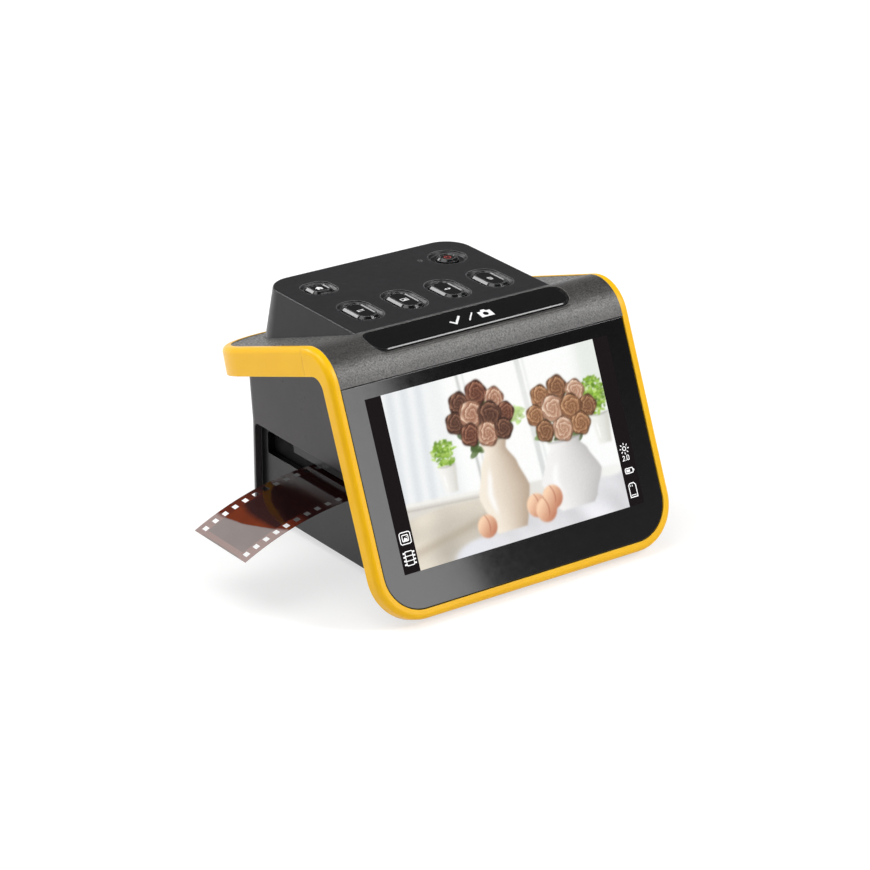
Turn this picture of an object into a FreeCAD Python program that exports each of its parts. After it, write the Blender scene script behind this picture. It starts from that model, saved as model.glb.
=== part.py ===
"""Film negative scanner with a leaning screen, a sloping shoulder and a control deck.

Millimetres, +Z up, +X to the right and +Y to the back. The pieces are drawn from the line
in which the plane of the screen glass meets the table, and are then moved so that the origin
is on the table, in the middle of the four feet.
"""
import FreeCAD, Part
import math
import os
from FreeCAD import Vector

# Overall form
WIDTH = 138.0
LEAN_DEG = 22.4
DESCENT_DEG = 17.85
CREST_RUN = 109.4
SHOULDER_RUN = 94.2
ROLL_RADIUS = 16.2
SEAM_RUN = 15.4
FIT_GAP = 0.1
SLIDE_GAP = 0.3
OVERRUN = 250.0

# Yellow trim
TRIM_WIDTH = 3.6
TRIM_DEPTH = 6.0
BAND_DEPTH = 10.9
TRIM_BOTTOM = 3.5
TRIM_CORNER = 19.0
REAR_CORNER = 30.0
TRIM_INNER_BEND = 6.0
TRIM_ROUND = 2.2
TRIM_PART_GAP = 0.12

# Skins
SKIN = 2.2
SURFACE_STEP = 0.25
BACK_DEPTH = 8.6
BACK_SKIN = 2.0
BACK_BEND = 4.0

# Screen
GLASS_DROP = 16.7
GLASS_THICK = 1.2
GLASS_EDGE = 0.35
BEZEL_THICK = 1.8
LCD_SIDE_MARGIN = 9.2
LCD_BOTTOM_MARGIN = 12.1
LCD_TOP_MARGIN = 3.5
LCD_THICK = 2.8
BRACKET_THICK = 0.6
BRACKET_MARGIN = 1.2
BRACKET_LIP = 0.9

# Control deck
DECK_HALF = 45.2
DECK_SETBACK = 13.4
DECK_DROP = 4.25
DECK_SHELF = 9.4
DECK_RISE_DEG = 1.0
DECK_CORNER = 11.0
DECK_DRAFT_DEG = 16.0
DECK_REAR_DRAFT_DEG = 3.0
DECK_WALL = 2.0
DECK_TOP = 2.4
DECK_ROUND = 0.7

# Buttons
BUTTON_TRAVEL = 0.6
BUTTON_GAP = 0.3
FLANGE_GAP = 0.1
BUTTON_PROUD = 0.35
BUTTON_BEVEL = 0.9
BUTTON_LAND = 0.5
BUTTON_DISH = 0.4
FLANGE_LIP = 1.1
FLANGE_THICK = 0.8
RECESS_DEPTH = 1.4
RECESS_DRAFT = 0.9
FUNCTION_COUNT = 4
FUNCTION_PITCH = 20.15
FUNCTION_BACK_SHARE = 0.292
FUNCTION_WIDTH = 9.8
FUNCTION_LENGTH = 17.2
FUNCTION_ROUND = 4.3
FUNCTION_MARGIN = 1.9
UPPER_MARGIN = 15.0
UPPER_BACK_SHARE = 0.732
HOME_SIZE = 9.4
HOME_ROUND = 2.6
HOME_MARGIN = 1.9
POWER_RADIUS = 4.5
POWER_DISH = 7.7
LIGHT_SIDE = 18.9
LIGHT_BEHIND = 2.6
LIGHT_RADIUS = 0.8

# Capture bar
BAR_SETBACK = 8.2
BAR_DROP = 0.9
BAR_TILT_DEG = 13.0
BAR_LENGTH = 91.0
BAR_BREADTH = 12.8
BAR_THICK = 1.8
BAR_CORNER = 5.0
BAR_GAP = 0.25
BAR_WELL = 0.8
BAR_TRAY = 1.4
BAR_TRAY_WALL = 1.4
BAR_TRAY_TOP = 0.9
BAR_EDGE = 0.4
STEM_RADIUS = 1.5
STEM_REACH = 3.3
STEM_SIDE = 30.0

# Button board and switches
BOARD_THICK = 1.6
BOARD_DROP = 8.0
BOARD_SIDE_MARGIN = 3.2
BOARD_FORE = 10.6
BOARD_REAR_MARGIN = 5.4
BOARD_ROOM = 3.0
SWITCH_SIZE = 6.0
PLUNGER_RADIUS = 1.7
PLUNGER_HEIGHT = 0.7
LOW_SWITCH_HEIGHT = 0.8
LOW_PLUNGER_HEIGHT = 0.4
BOSS_RADIUS = 2.6
SCREW_RADIUS = 1.1
SCREW_HEAD_RADIUS = 2.2
SCREW_HEAD = 1.4
SCREW_REACH = 4.6

# Tower
TOWER_HALF = 50.0
TOWER_BOTTOM = 4.5
TOWER_REAR_SETBACK = 4.9
TOWER_REAR_LEAN_DEG = 6.2
TOWER_CORNER = 5.0
TOWER_WALL = 2.2

# Film mouth in each side wall
CHUTE_DEPTH = 3.0
CHUTE_REAR_MARGIN = 4.8
CHUTE_TOP = 41.4
CHUTE_CORNER = 2.2
CHUTE_PAD = 2.2
CHUTE_PAD_MARGIN = 1.1
SLOT_FRONT_MARGIN = 12.0
SLOT_REAR_MARGIN = 4.4
SLOT_FLOOR = 29.4
SLOT_TOP = 36.0
SLOT_KEY_LENGTH = 18.6
SLOT_KEY_TOP = 38.8
SLOT_CORNER = 1.4

# Film insert
INSERT_INSET = 0.8
INSERT_GRIP = 6.0
INSERT_SPLIT = 34.6
FILM_ROOM = 0.24
HINGE_PIN_RADIUS = 0.8
HINGE_BACK = 2.6
GATE_WIDTH = 36.0
GATE_HEIGHT = 24.0
GATE_CORNER = 1.5
GRIP_RIBS = 5
GRIP_RIB = 0.7
GRIP_DEPTH = 0.35
GRIP_PITCH = 1.8

# Film strip
FILM_WIDTH = 35.0
FILM_LENGTH = 152.7
FILM_THICK = 0.16
FILM_SETBACK = 32.4
FILM_DROOP_REACH = 55.4
FILM_BEND_INSET = 0.3
FILM_CURL_RADIUS = 121.0
HOLE_PITCH = 4.75
HOLE_LONG = 2.8
HOLE_WIDE = 2.0
HOLE_INSET = 2.0
HOLE_FIRST = 3.1

# Channel, light and camera
CHANNEL_FLOOR = 2.0
CHANNEL_RAIL = 1.4
CHANNEL_RAIL_HEIGHT = 6.0
CHANNEL_WINDOW_MARGIN = 4.0
LIGHT_BOX_HALF_X = 27.0
LIGHT_BOX_HALF_Y = 21.0
LIGHT_BOX_GAP = 4.2
LIGHT_BOX_WALL = 1.6
DIFFUSER_THICK = 1.5
DIFFUSER_SINK = 0.4
LED_BOARD_THICK = 1.6
LED_BOARD_LIFT = 6.0
LED_COLUMNS = 5
LED_ROWS = 4
LED_SIZE = 2.8
LED_HEIGHT = 0.9
LED_PITCH = 8.0
BRIDGE_THICK = 2.0
BRIDGE_HALF_Y = 19.0
BRIDGE_LEDGE = 3.0
BRIDGE_LEDGE_HEIGHT = 6.0
BARREL_RADIUS = 8.0
BARREL_DROP = 16.0
LENS_GAP = 5.5
BARREL_BORE = 5.2
BARREL_COLLAR = 10.8
BARREL_COLLAR_THICK = 2.0
LENS_RADIUS = 6.0
LENS_THICK = 3.0
LENS_SINK = 1.0
CAMERA_BOARD_SIZE = 32.0
SENSOR_SIZE = 7.0
SENSOR_HEIGHT = 1.6

# Base and feet
BASE_THICK = 2.2
BASE_Z = 2.6
BASE_FRONT_MARGIN = 1.6
BASE_REAR_MARGIN = 2.7
BASE_CORNER = 4.0
FOOT_RADIUS = 6.5
FOOT_RECESS = 0.8
FOOT_TAPER = 0.8
FOOT_INSET = 7.7
FOOT_END_INSET = 9.6
BASE_SCREW_INSET = 4.3
BASE_SCREW_FRONT_INSET = 25.8
BASE_SCREW_REAR_INSET = 21.4
BASE_POST_TOP = 16.0

# Main board and sockets
MAIN_Z = 8.6
MAIN_SIDE_MARGIN = 3.8
MAIN_REAR_GAP = 1.5
MAIN_POST_RADIUS = 2.2
MAIN_POST_SIDE_INSET = 7.0
MAIN_POST_INSET = 4.4
CHIP_SIZE = 8.0
CHIP_X = -15.0
CHIP_INSET = 10.0
CHIP_HEIGHT = 1.4
SOCKET_DEPTH = 8.6
POWER_SOCKET_X = -24.0
POWER_SOCKET_WIDTH = 9.0
POWER_SOCKET_HEIGHT = 3.2
VIDEO_SOCKET_X = -5.0
VIDEO_SOCKET_WIDTH = 11.2
VIDEO_SOCKET_HEIGHT = 3.4
CARD_SOCKET_X = 20.0
CARD_SOCKET_WIDTH = 28.0
CARD_SOCKET_HEIGHT = 3.0
CARD_SOCKET_DEPTH = 18.0
SOCKET_WALL = 0.5

LEAN = math.radians(LEAN_DEG)
DESCENT = math.radians(DESCENT_DEG)
HALF = WIDTH / 2
CREST_Y = CREST_RUN * math.sin(LEAN)
CREST_Z = CREST_RUN * math.cos(LEAN)
INNER_HALF = HALF - TRIM_WIDTH
INNER_BOTTOM = TRIM_BOTTOM + TRIM_WIDTH
INNER_CORNER = TRIM_CORNER - TRIM_WIDTH
INNER_REAR = SHOULDER_RUN - TRIM_WIDTH
INNER_REAR_CORNER = REAR_CORNER - TRIM_WIDTH
GLASS_TOP = CREST_RUN - GLASS_DROP
LCD_HALF = INNER_HALF - LCD_SIDE_MARGIN
LCD_BOTTOM = INNER_BOTTOM + LCD_BOTTOM_MARGIN
LCD_TOP = GLASS_TOP - LCD_TOP_MARGIN
DECK_FRONT_Y = CREST_Y + DECK_SETBACK
DECK_FRONT_Z = CREST_Z - DECK_DROP
DECK_LENGTH = CREST_Y + INNER_REAR * math.cos(DESCENT) - DECK_SHELF - DECK_FRONT_Y
FUNCTION_BACK = DECK_LENGTH * FUNCTION_BACK_SHARE
UPPER_BACK = DECK_LENGTH * UPPER_BACK_SHARE
UPPER_SIDE = DECK_HALF - UPPER_MARGIN
DECK_REACH = DECK_LENGTH / 2
LIGHT_BACK = UPPER_BACK + LIGHT_BEHIND
BOARD_HALF = DECK_HALF - BOARD_SIDE_MARGIN
BOARD_AFT = DECK_LENGTH - BOARD_REAR_MARGIN
BAND_REAR_Y = CREST_Y + SHOULDER_RUN * math.cos(DESCENT) - BAND_DEPTH * math.sin(DESCENT)
TOWER_REAR_Y = BAND_REAR_Y - TOWER_REAR_SETBACK
TOWER_INNER = TOWER_HALF - CHUTE_DEPTH - CHUTE_PAD
CHUTE_REAR_Y = TOWER_REAR_Y - CHUTE_REAR_MARGIN
SLOT_FRONT_Y = SLOT_FLOOR * math.tan(LEAN) + BACK_DEPTH / math.cos(LEAN) + SLOT_FRONT_MARGIN
SLOT_REAR_Y = CHUTE_REAR_Y - SLOT_REAR_MARGIN
SLOT_KEY_Y = SLOT_REAR_Y - SLOT_KEY_LENGTH
INSERT_FLOOR = SLOT_FLOOR + SLIDE_GAP
INSERT_FRONT_Y = SLOT_FRONT_Y + SLIDE_GAP
INSERT_REAR_Y = SLOT_REAR_Y - SLIDE_GAP
INSERT_TOP = SLOT_TOP - SLIDE_GAP
INSERT_KEY_Y = SLOT_KEY_Y + SLIDE_GAP
INSERT_KEY_TOP = SLOT_KEY_TOP - SLIDE_GAP
INSERT_LEFT = INSERT_INSET - TOWER_INNER
INSERT_RIGHT = TOWER_HALF + INSERT_GRIP
CHANNEL_TOP = INSERT_FLOOR - SLIDE_GAP
CHANNEL_BOTTOM = CHANNEL_TOP - CHANNEL_FLOOR
FILM_Y = SLOT_FRONT_Y + FILM_SETBACK
FILM_Z = INSERT_SPLIT + FILM_ROOM / 2
FILM_BEND_X = INSERT_LEFT - FILM_BEND_INSET
BARREL_BOTTOM = INSERT_KEY_TOP + LENS_GAP
BRIDGE_Z = BARREL_BOTTOM + BARREL_DROP
BASE_FRONT_Y = BASE_Z * math.tan(LEAN) + BACK_DEPTH / math.cos(LEAN) + BASE_FRONT_MARGIN
BASE_REAR_Y = TOWER_REAR_Y - BASE_REAR_MARGIN
ORIGIN_Y = (BASE_FRONT_Y + BASE_REAR_Y) / 2
FOOT_SIDE = TOWER_INNER - FOOT_INSET
BASE_SCREW_SIDE = TOWER_INNER - BASE_SCREW_INSET
MAIN_HALF = TOWER_INNER - MAIN_SIDE_MARGIN
MAIN_FRONT_Y = FILM_Y + LIGHT_BOX_HALF_Y + LIGHT_BOX_GAP
MAIN_REAR_Y = TOWER_REAR_Y - TOWER_WALL - MAIN_REAR_GAP
MAIN_POST_SIDE = MAIN_HALF - MAIN_POST_SIDE_INSET

DIAGONAL_SHARE = math.cos(math.pi / 4)
X_AXIS = Vector(1, 0, 0)
Y_AXIS = Vector(0, 1, 0)
Z_AXIS = Vector(0, 0, 1)


def plane_frame(y, z, tilt):
    """Frame whose own Y runs up the plane and whose own Z is the plane's outward normal."""
    turn = FreeCAD.Rotation(X_AXIS, math.degrees(tilt))
    return FreeCAD.Placement(Vector(0, y, z), turn)


SCREEN = plane_frame(0, 0, math.pi / 2 - LEAN)
SHOULDER = plane_frame(CREST_Y, CREST_Z, -DESCENT)
DECK = plane_frame(DECK_FRONT_Y, DECK_FRONT_Z, math.radians(DECK_RISE_DEG))
BAR = plane_frame(DECK_FRONT_Y - BAR_SETBACK, DECK_FRONT_Z - BAR_DROP, math.radians(BAR_TILT_DEG))


def placed(shape, frame):
    """A copy of a shape that was drawn in the given frame, moved into the part's frame."""
    copy = shape.copy()
    copy.Placement = frame.multiply(copy.Placement)
    return copy


def rounded_face(x0, y0, x1, y1, radii):
    """Rectangle with its own radius at each corner, from the low left one anticlockwise."""
    corners = [Vector(x0, y0, 0), Vector(x1, y0, 0), Vector(x1, y1, 0), Vector(x0, y1, 0)]
    edges = []
    ends = []
    for place, corner in enumerate(corners):
        before = corners[place - 1] - corner
        after = corners[(place + 1) % len(corners)] - corner
        before.normalize()
        after.normalize()
        radius = radii[place]
        start = corner + before * radius
        end = corner + after * radius
        ends.append((start, end))
        if radius > 0:
            middle = corner + (before + after) * radius * (1 - DIAGONAL_SHARE)
            edges.append(Part.Arc(start, middle, end).toShape())
    for place, (start, end) in enumerate(ends):
        following = ends[(place + 1) % len(ends)][0]
        if end.distanceToPoint(following) > 0:
            edges.append(Part.makeLine(end, following))
    return Part.Face(Part.Wire(Part.__sortEdges__(edges)))


def rounded_prism(x0, y0, x1, y1, radii, z0, z1):
    """Prism on a rounded rectangle between two heights."""
    face = rounded_face(x0, y0, x1, y1, radii)
    face.translate(Vector(0, 0, z0))
    return face.extrude(Vector(0, 0, z1 - z0))


def edges_near(shape, test):
    """Edges of a shape whose middle point passes a test."""
    found = []
    for edge in shape.Edges:
        first, last = edge.ParameterRange
        if test(edge.valueAt((first + last) / 2), edge):
            found.append(edge)
    return found


def pill(half_x, half_y, radius, low, high):
    """Prism of a rounded rectangle centred on the origin, between two heights."""
    return rounded_prism(-half_x, -half_y, half_x, half_y, [radius] * 4, low, high)


def bevelled(prism, height, side, rise):
    """A prism with the edge at one height cut back by a sloped face."""
    rim = edges_near(prism, lambda point, edge: abs(point.z - height) < FIT_GAP / 2)
    return prism.makeChamfer(side, rise, rim)


def box(x0, x1, y0, y1, z0, z1):
    """Box between six planes."""
    return Part.makeBox(x1 - x0, y1 - y0, z1 - z0, Vector(x0, y0, z0))


def cylinder(x, y, z0, z1, radius):
    """Upright cylinder between two heights."""
    return Part.makeCylinder(radius, z1 - z0, Vector(x, y, z0), Z_AXIS)


def profile_prism(points, x0, x1):
    """Prism along X on a polygon of Y and Z pairs."""
    corners = [Vector(x0, y, z) for y, z in points]
    face = Part.Face(Part.makePolygon(corners + corners[:1]))
    return face.extrude(Vector(x1 - x0, 0, 0))


def skin_path(front_depth, shoulder_depth, bend, x, reach):
    """Edges and ends of the line that follows the screen plane, the bend and the shoulder.

    The depths are measured behind the screen plane and under the shoulder plane."""
    up = Vector(0, math.sin(LEAN), math.cos(LEAN))
    back = Vector(0, math.cos(DESCENT), -math.sin(DESCENT))
    inward = Vector(0, math.cos(LEAN), -math.sin(LEAN))
    under = Vector(0, -math.sin(DESCENT), -math.cos(DESCENT))
    shift = under * shoulder_depth - inward * front_depth
    cross = up.y * back.z - up.z * back.y
    rise = (shift.y * back.z - shift.z * back.y) / cross
    corner = Vector(x, CREST_Y, CREST_Z) + inward * front_depth + up * rise
    turn = up.getAngle(back)
    tangent = bend * math.tan(turn / 2)
    start = corner - up * tangent
    end = corner + back * tangent
    towards = back - up
    towards.normalize()
    middle = corner + towards * (bend / math.cos(turn / 2) - bend)
    low = Vector(x, 0, 0) + inward * front_depth
    far = Vector(x, CREST_Y, CREST_Z) + under * shoulder_depth + back * reach
    edges = [Part.makeLine(low, start), Part.Arc(start, middle, end).toShape(), Part.makeLine(end, far)]
    return edges, low, far


def skin_layer(outer, inner, half, reach=SHOULDER_RUN):
    """Bent layer between two depths, each given as front depth, shoulder depth and bend."""
    first, low_out, far_out = skin_path(*outer, -half, reach)
    second, low_in, far_in = skin_path(*inner, -half, reach)
    ends = [Part.makeLine(low_out, low_in), Part.makeLine(far_out, far_in)]
    wire = Part.Wire(Part.__sortEdges__(first + second + ends))
    return Part.Face(wire).extrude(Vector(2 * half, 0, 0))


def outline_mask(half, bottom, corner, rear, rear_corner):
    """Everything inside the outline seen square to the screen and square to the shoulder."""
    radii = [corner, corner, 0, 0]
    front = rounded_prism(-half, bottom, half, OVERRUN, radii, -OVERRUN, OVERRUN)
    radii = [0, 0, rear_corner, rear_corner]
    top = rounded_prism(-half, -OVERRUN, half, rear, radii, -OVERRUN, OVERRUN)
    return placed(front, SCREEN).common(placed(top, SHOULDER))


def inner_mask(gap):
    """Everything inside the yellow trim, less a gap."""
    return outline_mask(INNER_HALF - gap, INNER_BOTTOM + gap, INNER_CORNER - gap,
                        INNER_REAR - gap, INNER_REAR_CORNER - gap)


def shoulder_slab(start, end):
    """Thick slab square to the shoulder, between two runs from the crest."""
    return placed(box(-OVERRUN, OVERRUN, start, end, -OVERRUN, OVERRUN), SHOULDER)


def shoulder_layer(low, high):
    """Wide flat layer between two heights over the shoulder plane."""
    return placed(box(-OVERRUN, OVERRUN, -OVERRUN, OVERRUN, low, high), SHOULDER)


def trim_ring():
    """Whole yellow trim as one bent ring with its outer edge rounded."""
    layer = skin_layer((0, 0, ROLL_RADIUS), (TRIM_DEPTH, BAND_DEPTH, TRIM_INNER_BEND), HALF)
    outer = outline_mask(HALF, TRIM_BOTTOM, TRIM_CORNER, SHOULDER_RUN, REAR_CORNER)
    body = layer.common(outer)
    to_screen = SCREEN.inverse()
    to_shoulder = SHOULDER.inverse()
    skin_near = ROLL_RADIUS * (math.sqrt(2) - 1)

    def on_rim(point, edge):
        front = to_screen.multVec(point)
        top = to_shoulder.multVec(point)
        in_skin = max(abs(min(front.z, 0)), abs(min(top.z, 0))) < TRIM_DEPTH / 2
        flush = abs(front.z) < FIT_GAP or abs(top.z) < FIT_GAP
        arched = abs(abs(point.x) - HALF) < FIT_GAP and front.z > -skin_near and top.z > -skin_near
        return flush or (arched and in_skin)

    body = body.makeFillet(TRIM_ROUND, edges_near(body, on_rim))
    return body.cut(outline_mask(INNER_HALF, INNER_BOTTOM, INNER_CORNER, INNER_REAR, INNER_REAR_CORNER))


def front_trim(ring):
    """Yellow trim round the screen, up to the joint behind the bend."""
    return ring.cut(shoulder_slab(SEAM_RUN, SHOULDER_RUN + OVERRUN))


def rear_band(ring):
    """Yellow band round the shoulder, behind the joint."""
    return ring.common(shoulder_slab(SEAM_RUN + TRIM_PART_GAP, SHOULDER_RUN + OVERRUN))


def deck_body(shrink, top):
    """Drafted block of the control deck up to a height, smaller by a wall on every side."""
    slope = math.tan(math.radians(DECK_DRAFT_DEG))
    rear_slope = math.tan(math.radians(DECK_REAR_DRAFT_DEG))
    wires = []
    for height in (top, -DECK_REACH):
        half = DECK_HALF - shrink - height * slope
        rear = DECK_LENGTH - shrink - height * rear_slope
        corner = DECK_CORNER - shrink - height * slope
        face = rounded_face(-half, shrink, half, rear, [0, 0, corner, corner])
        face.translate(Vector(0, 0, height))
        wires.append(face.OuterWire)
    return placed(Part.makeLoft(wires, True, True), DECK)


def button_places():
    """Name, half width, half length, corner radius and place of every deck button."""
    places = []
    for number in range(FUNCTION_COUNT):
        side = (number - (FUNCTION_COUNT - 1) / 2) * FUNCTION_PITCH
        name = "function_button_%d" % (number + 1)
        size = (FUNCTION_WIDTH / 2, FUNCTION_LENGTH / 2, FUNCTION_ROUND)
        places.append((name, size, FUNCTION_MARGIN, (side, FUNCTION_BACK)))
    size = (HOME_SIZE / 2, HOME_SIZE / 2, HOME_ROUND)
    places.append(("home_button", size, HOME_MARGIN, (-UPPER_SIDE, UPPER_BACK)))
    size = (POWER_RADIUS, POWER_RADIUS, POWER_RADIUS - FIT_GAP)
    places.append(("power_button", size, POWER_DISH - POWER_RADIUS, (UPPER_SIDE, UPPER_BACK)))
    return places


def deck_button(size, place):
    """Bevelled button with a dished top and a retaining flange under the deck."""
    half_x, half_y, radius = size
    flange_top = -DECK_TOP - FLANGE_GAP
    cap = bevelled(pill(half_x, half_y, radius, flange_top, BUTTON_PROUD), BUTTON_PROUD,
                   BUTTON_BEVEL, BUTTON_BEVEL)
    inset = BUTTON_BEVEL + BUTTON_LAND
    dish = pill(half_x - inset, half_y - inset, radius - inset, BUTTON_PROUD - BUTTON_DISH, OVERRUN)
    dish = bevelled(dish, BUTTON_PROUD - BUTTON_DISH, BUTTON_DISH, BUTTON_DISH)
    lip = FLANGE_LIP
    flange = pill(half_x + lip, half_y + lip, radius + lip, flange_top - FLANGE_THICK, flange_top)
    button = cap.cut(dish).fuse(flange)
    button.translate(Vector(place[0], place[1], 0))
    return placed(button, DECK)


def recess_cutter(size, margin, place):
    """Tapered recess with the button's hole in its floor."""
    half_x, half_y, radius = size
    recess = pill(half_x + margin, half_y + margin, radius + margin, -RECESS_DEPTH, DECK_TOP)
    recess = bevelled(recess, -RECESS_DEPTH, RECESS_DRAFT, RECESS_DRAFT)
    gap = BUTTON_GAP
    cutter = recess.fuse(pill(half_x + gap, half_y + gap, radius + gap, -DECK_TOP - DECK_TOP, 0))
    cutter.translate(Vector(place[0], place[1], 0))
    return placed(cutter, DECK)


def boss_places():
    """Places of the posts that carry the button board, in the deck's frame."""
    side = BOARD_HALF - BOSS_RADIUS
    mid_back = (FUNCTION_BACK + UPPER_BACK) / 2
    near = FUNCTION_PITCH / 2
    far_back = UPPER_BACK + BOSS_RADIUS
    return [(-side, mid_back), (side, mid_back), (-near, far_back), (near, far_back)]


def control_deck():
    """Raised deck with drafted walls, button recesses and posts for its board."""
    shell = deck_body(0, 0)
    to_deck = DECK.inverse()

    def on_rim(point, edge):
        local = to_deck.multVec(point)
        return abs(local.z) < FIT_GAP and local.y > FIT_GAP

    shell = shell.makeFillet(DECK_ROUND, edges_near(shell, on_rim))
    shell = shell.cut(deck_body(DECK_WALL, -DECK_TOP))
    shell = shell.cut(shoulder_layer(-OVERRUN, -SURFACE_STEP - SKIN))
    for name, size, margin, place in button_places():
        shell = shell.cut(recess_cutter(size, margin, place))
    light = cylinder(LIGHT_SIDE, LIGHT_BACK, -OVERRUN, OVERRUN, LIGHT_RADIUS + FIT_GAP)
    shell = shell.cut(placed(light, DECK))
    posts = []
    for side, back in boss_places():
        post = cylinder(side, back, -BOARD_DROP, -DECK_TOP, BOSS_RADIUS)
        pilot = cylinder(side, back, -BOARD_DROP - FIT_GAP, -BOARD_DROP + SCREW_REACH, SCREW_RADIUS)
        posts.append(placed(post.cut(pilot), DECK))
    return shell.fuse(posts)


def bar_stems():
    """Sideways places of the capture bar's stems."""
    return [-STEM_SIDE, 0, STEM_SIDE]


def capture_bar():
    """Long glossy capture bar with three guide stems."""
    radii = [BAR_CORNER] * 4
    half = BAR_LENGTH / 2
    deep = BAR_BREADTH / 2
    slab = rounded_prism(-half, -deep, half, deep, radii, -BAR_THICK, 0)
    top = edges_near(slab, lambda point, edge: point.z > -FIT_GAP)
    slab = slab.makeChamfer(BAR_EDGE, top)
    low = -BAR_THICK - STEM_REACH
    stems = [cylinder(side, 0, low, -BAR_THICK, STEM_RADIUS) for side in bar_stems()]
    return placed(slab.fuse(stems), BAR)


def bar_well():
    """Tray under the capture bar and the space cut out of it."""
    half = BAR_LENGTH / 2 + BAR_GAP
    deep = BAR_BREADTH / 2 + BAR_GAP
    corner = BAR_CORNER + BAR_GAP
    floor = -BAR_THICK - BAR_WELL
    wall = BAR_TRAY_WALL
    tray = rounded_prism(-half - wall, -deep - wall, half + wall, deep + wall, [corner + wall] * 4,
                         floor - BAR_TRAY, -BAR_TRAY_TOP)
    space = rounded_prism(-half, -deep, half, deep, [corner] * 4, floor, OVERRUN)
    holes = [cylinder(side, 0, -OVERRUN, OVERRUN, STEM_RADIUS + BUTTON_GAP) for side in bar_stems()]
    return placed(tray, BAR), placed(space.fuse(holes), BAR)


def front_fascia():
    """Rolled front panel with the screen window and the capture bar's well."""
    roll = skin_layer((0, 0, ROLL_RADIUS), (SKIN, SKIN, ROLL_RADIUS - SKIN), INNER_HALF)
    above = placed(box(-OVERRUN, OVERRUN, GLASS_TOP + FIT_GAP, OVERRUN, -OVERRUN, OVERRUN), SCREEN)
    roll = roll.common(above).cut(shoulder_slab(SEAM_RUN, OVERRUN))
    top = -SURFACE_STEP - GLASS_THICK - FIT_GAP
    plate = box(-HALF, HALF, TRIM_BOTTOM, GLASS_TOP + BEZEL_THICK, top - BEZEL_THICK, top)
    tray, space = bar_well()
    inside = skin_layer((FIT_GAP, FIT_GAP, ROLL_RADIUS), (OVERRUN, OVERRUN, FIT_GAP), OVERRUN)
    body = roll.fuse([placed(plate, SCREEN), tray.common(inside)])
    body = body.common(inner_mask(FIT_GAP)).cut(space)
    room = FIT_GAP
    window = box(-LCD_HALF - room, LCD_HALF + room, LCD_BOTTOM - room, LCD_TOP + room, -OVERRUN, 0)
    return body.cut(placed(window, SCREEN)).cut(deck_body(-FIT_GAP, DECK_REACH))


def screen_glass():
    """Cover glass with rounded lower corners and a polished edge."""
    gap = FIT_GAP
    half = INNER_HALF - gap
    corner = INNER_CORNER - gap
    radii = [corner, corner, 0, 0]
    low = -SURFACE_STEP - GLASS_THICK
    glass = rounded_prism(-half, INNER_BOTTOM + gap, half, GLASS_TOP, radii, low, -SURFACE_STEP)
    rim = edges_near(glass, lambda point, edge: point.z > -SURFACE_STEP - FIT_GAP)
    return placed(glass.makeChamfer(GLASS_EDGE, rim), SCREEN)


def lcd_panel():
    """Display module in the fascia's window."""
    top = -SURFACE_STEP - GLASS_THICK - FIT_GAP / 2
    panel = box(-LCD_HALF, LCD_HALF, LCD_BOTTOM, LCD_TOP, top - LCD_THICK, top)
    return placed(panel, SCREEN)


def lcd_bracket():
    """Folded metal tray that holds the display module from behind."""
    top = -SURFACE_STEP - GLASS_THICK - FIT_GAP - LCD_THICK
    edge = BRACKET_MARGIN
    x = LCD_HALF + edge
    low = LCD_BOTTOM - edge
    high = LCD_TOP + edge
    sheet = box(-x, x, low, high, top - BRACKET_THICK, top)
    wall = BRACKET_THICK
    rim = box(-x, x, low, high, top - BRACKET_THICK, top + BRACKET_LIP)
    rim = rim.cut(box(-x + wall, x - wall, low + wall, high - wall, -OVERRUN, OVERRUN))
    return placed(sheet.fuse(rim), SCREEN)


def back_housing():
    """Moulding that closes the display and the shoulder from behind and below."""
    bezel = SURFACE_STEP + GLASS_THICK + BEZEL_THICK + 2 * FIT_GAP
    under_top = SKIN + SURFACE_STEP + FIT_GAP
    face = (bezel, under_top, ROLL_RADIUS - SKIN)
    outer = skin_layer(face, (BACK_DEPTH, BAND_DEPTH, BACK_BEND), INNER_HALF)
    outer = outer.common(inner_mask(FIT_GAP))
    inner_depths = (BACK_DEPTH - BACK_SKIN, BAND_DEPTH - BACK_SKIN, BACK_BEND + BACK_SKIN)
    inner = skin_layer((0, 0, ROLL_RADIUS), inner_depths, INNER_HALF).common(inner_mask(BACK_SKIN))
    body = outer.cut(inner)
    room = BOARD_ROOM
    floor = -BOARD_DROP - BOARD_THICK - SCREW_HEAD - room
    opening = box(-BOARD_HALF - room, BOARD_HALF + room, -BOARD_FORE - room, BOARD_AFT + room,
                  floor, OVERRUN)
    return body.cut(placed(opening, DECK))


def shoulder_plate():
    """Textured plate between the band and the control deck."""
    layer = shoulder_layer(-SURFACE_STEP - SKIN, -SURFACE_STEP)
    plate = layer.common(inner_mask(FIT_GAP)).common(shoulder_slab(SEAM_RUN + TRIM_PART_GAP, OVERRUN))
    return plate.cut(deck_body(-FIT_GAP, DECK_REACH))


def rear_wall_y(height):
    """Outer face of the tower's rear wall at a height, upright below and leaning back above."""
    above = max(height - CHUTE_TOP, 0)
    return TOWER_REAR_Y + above * math.tan(math.radians(TOWER_REAR_LEAN_DEG))


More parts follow.
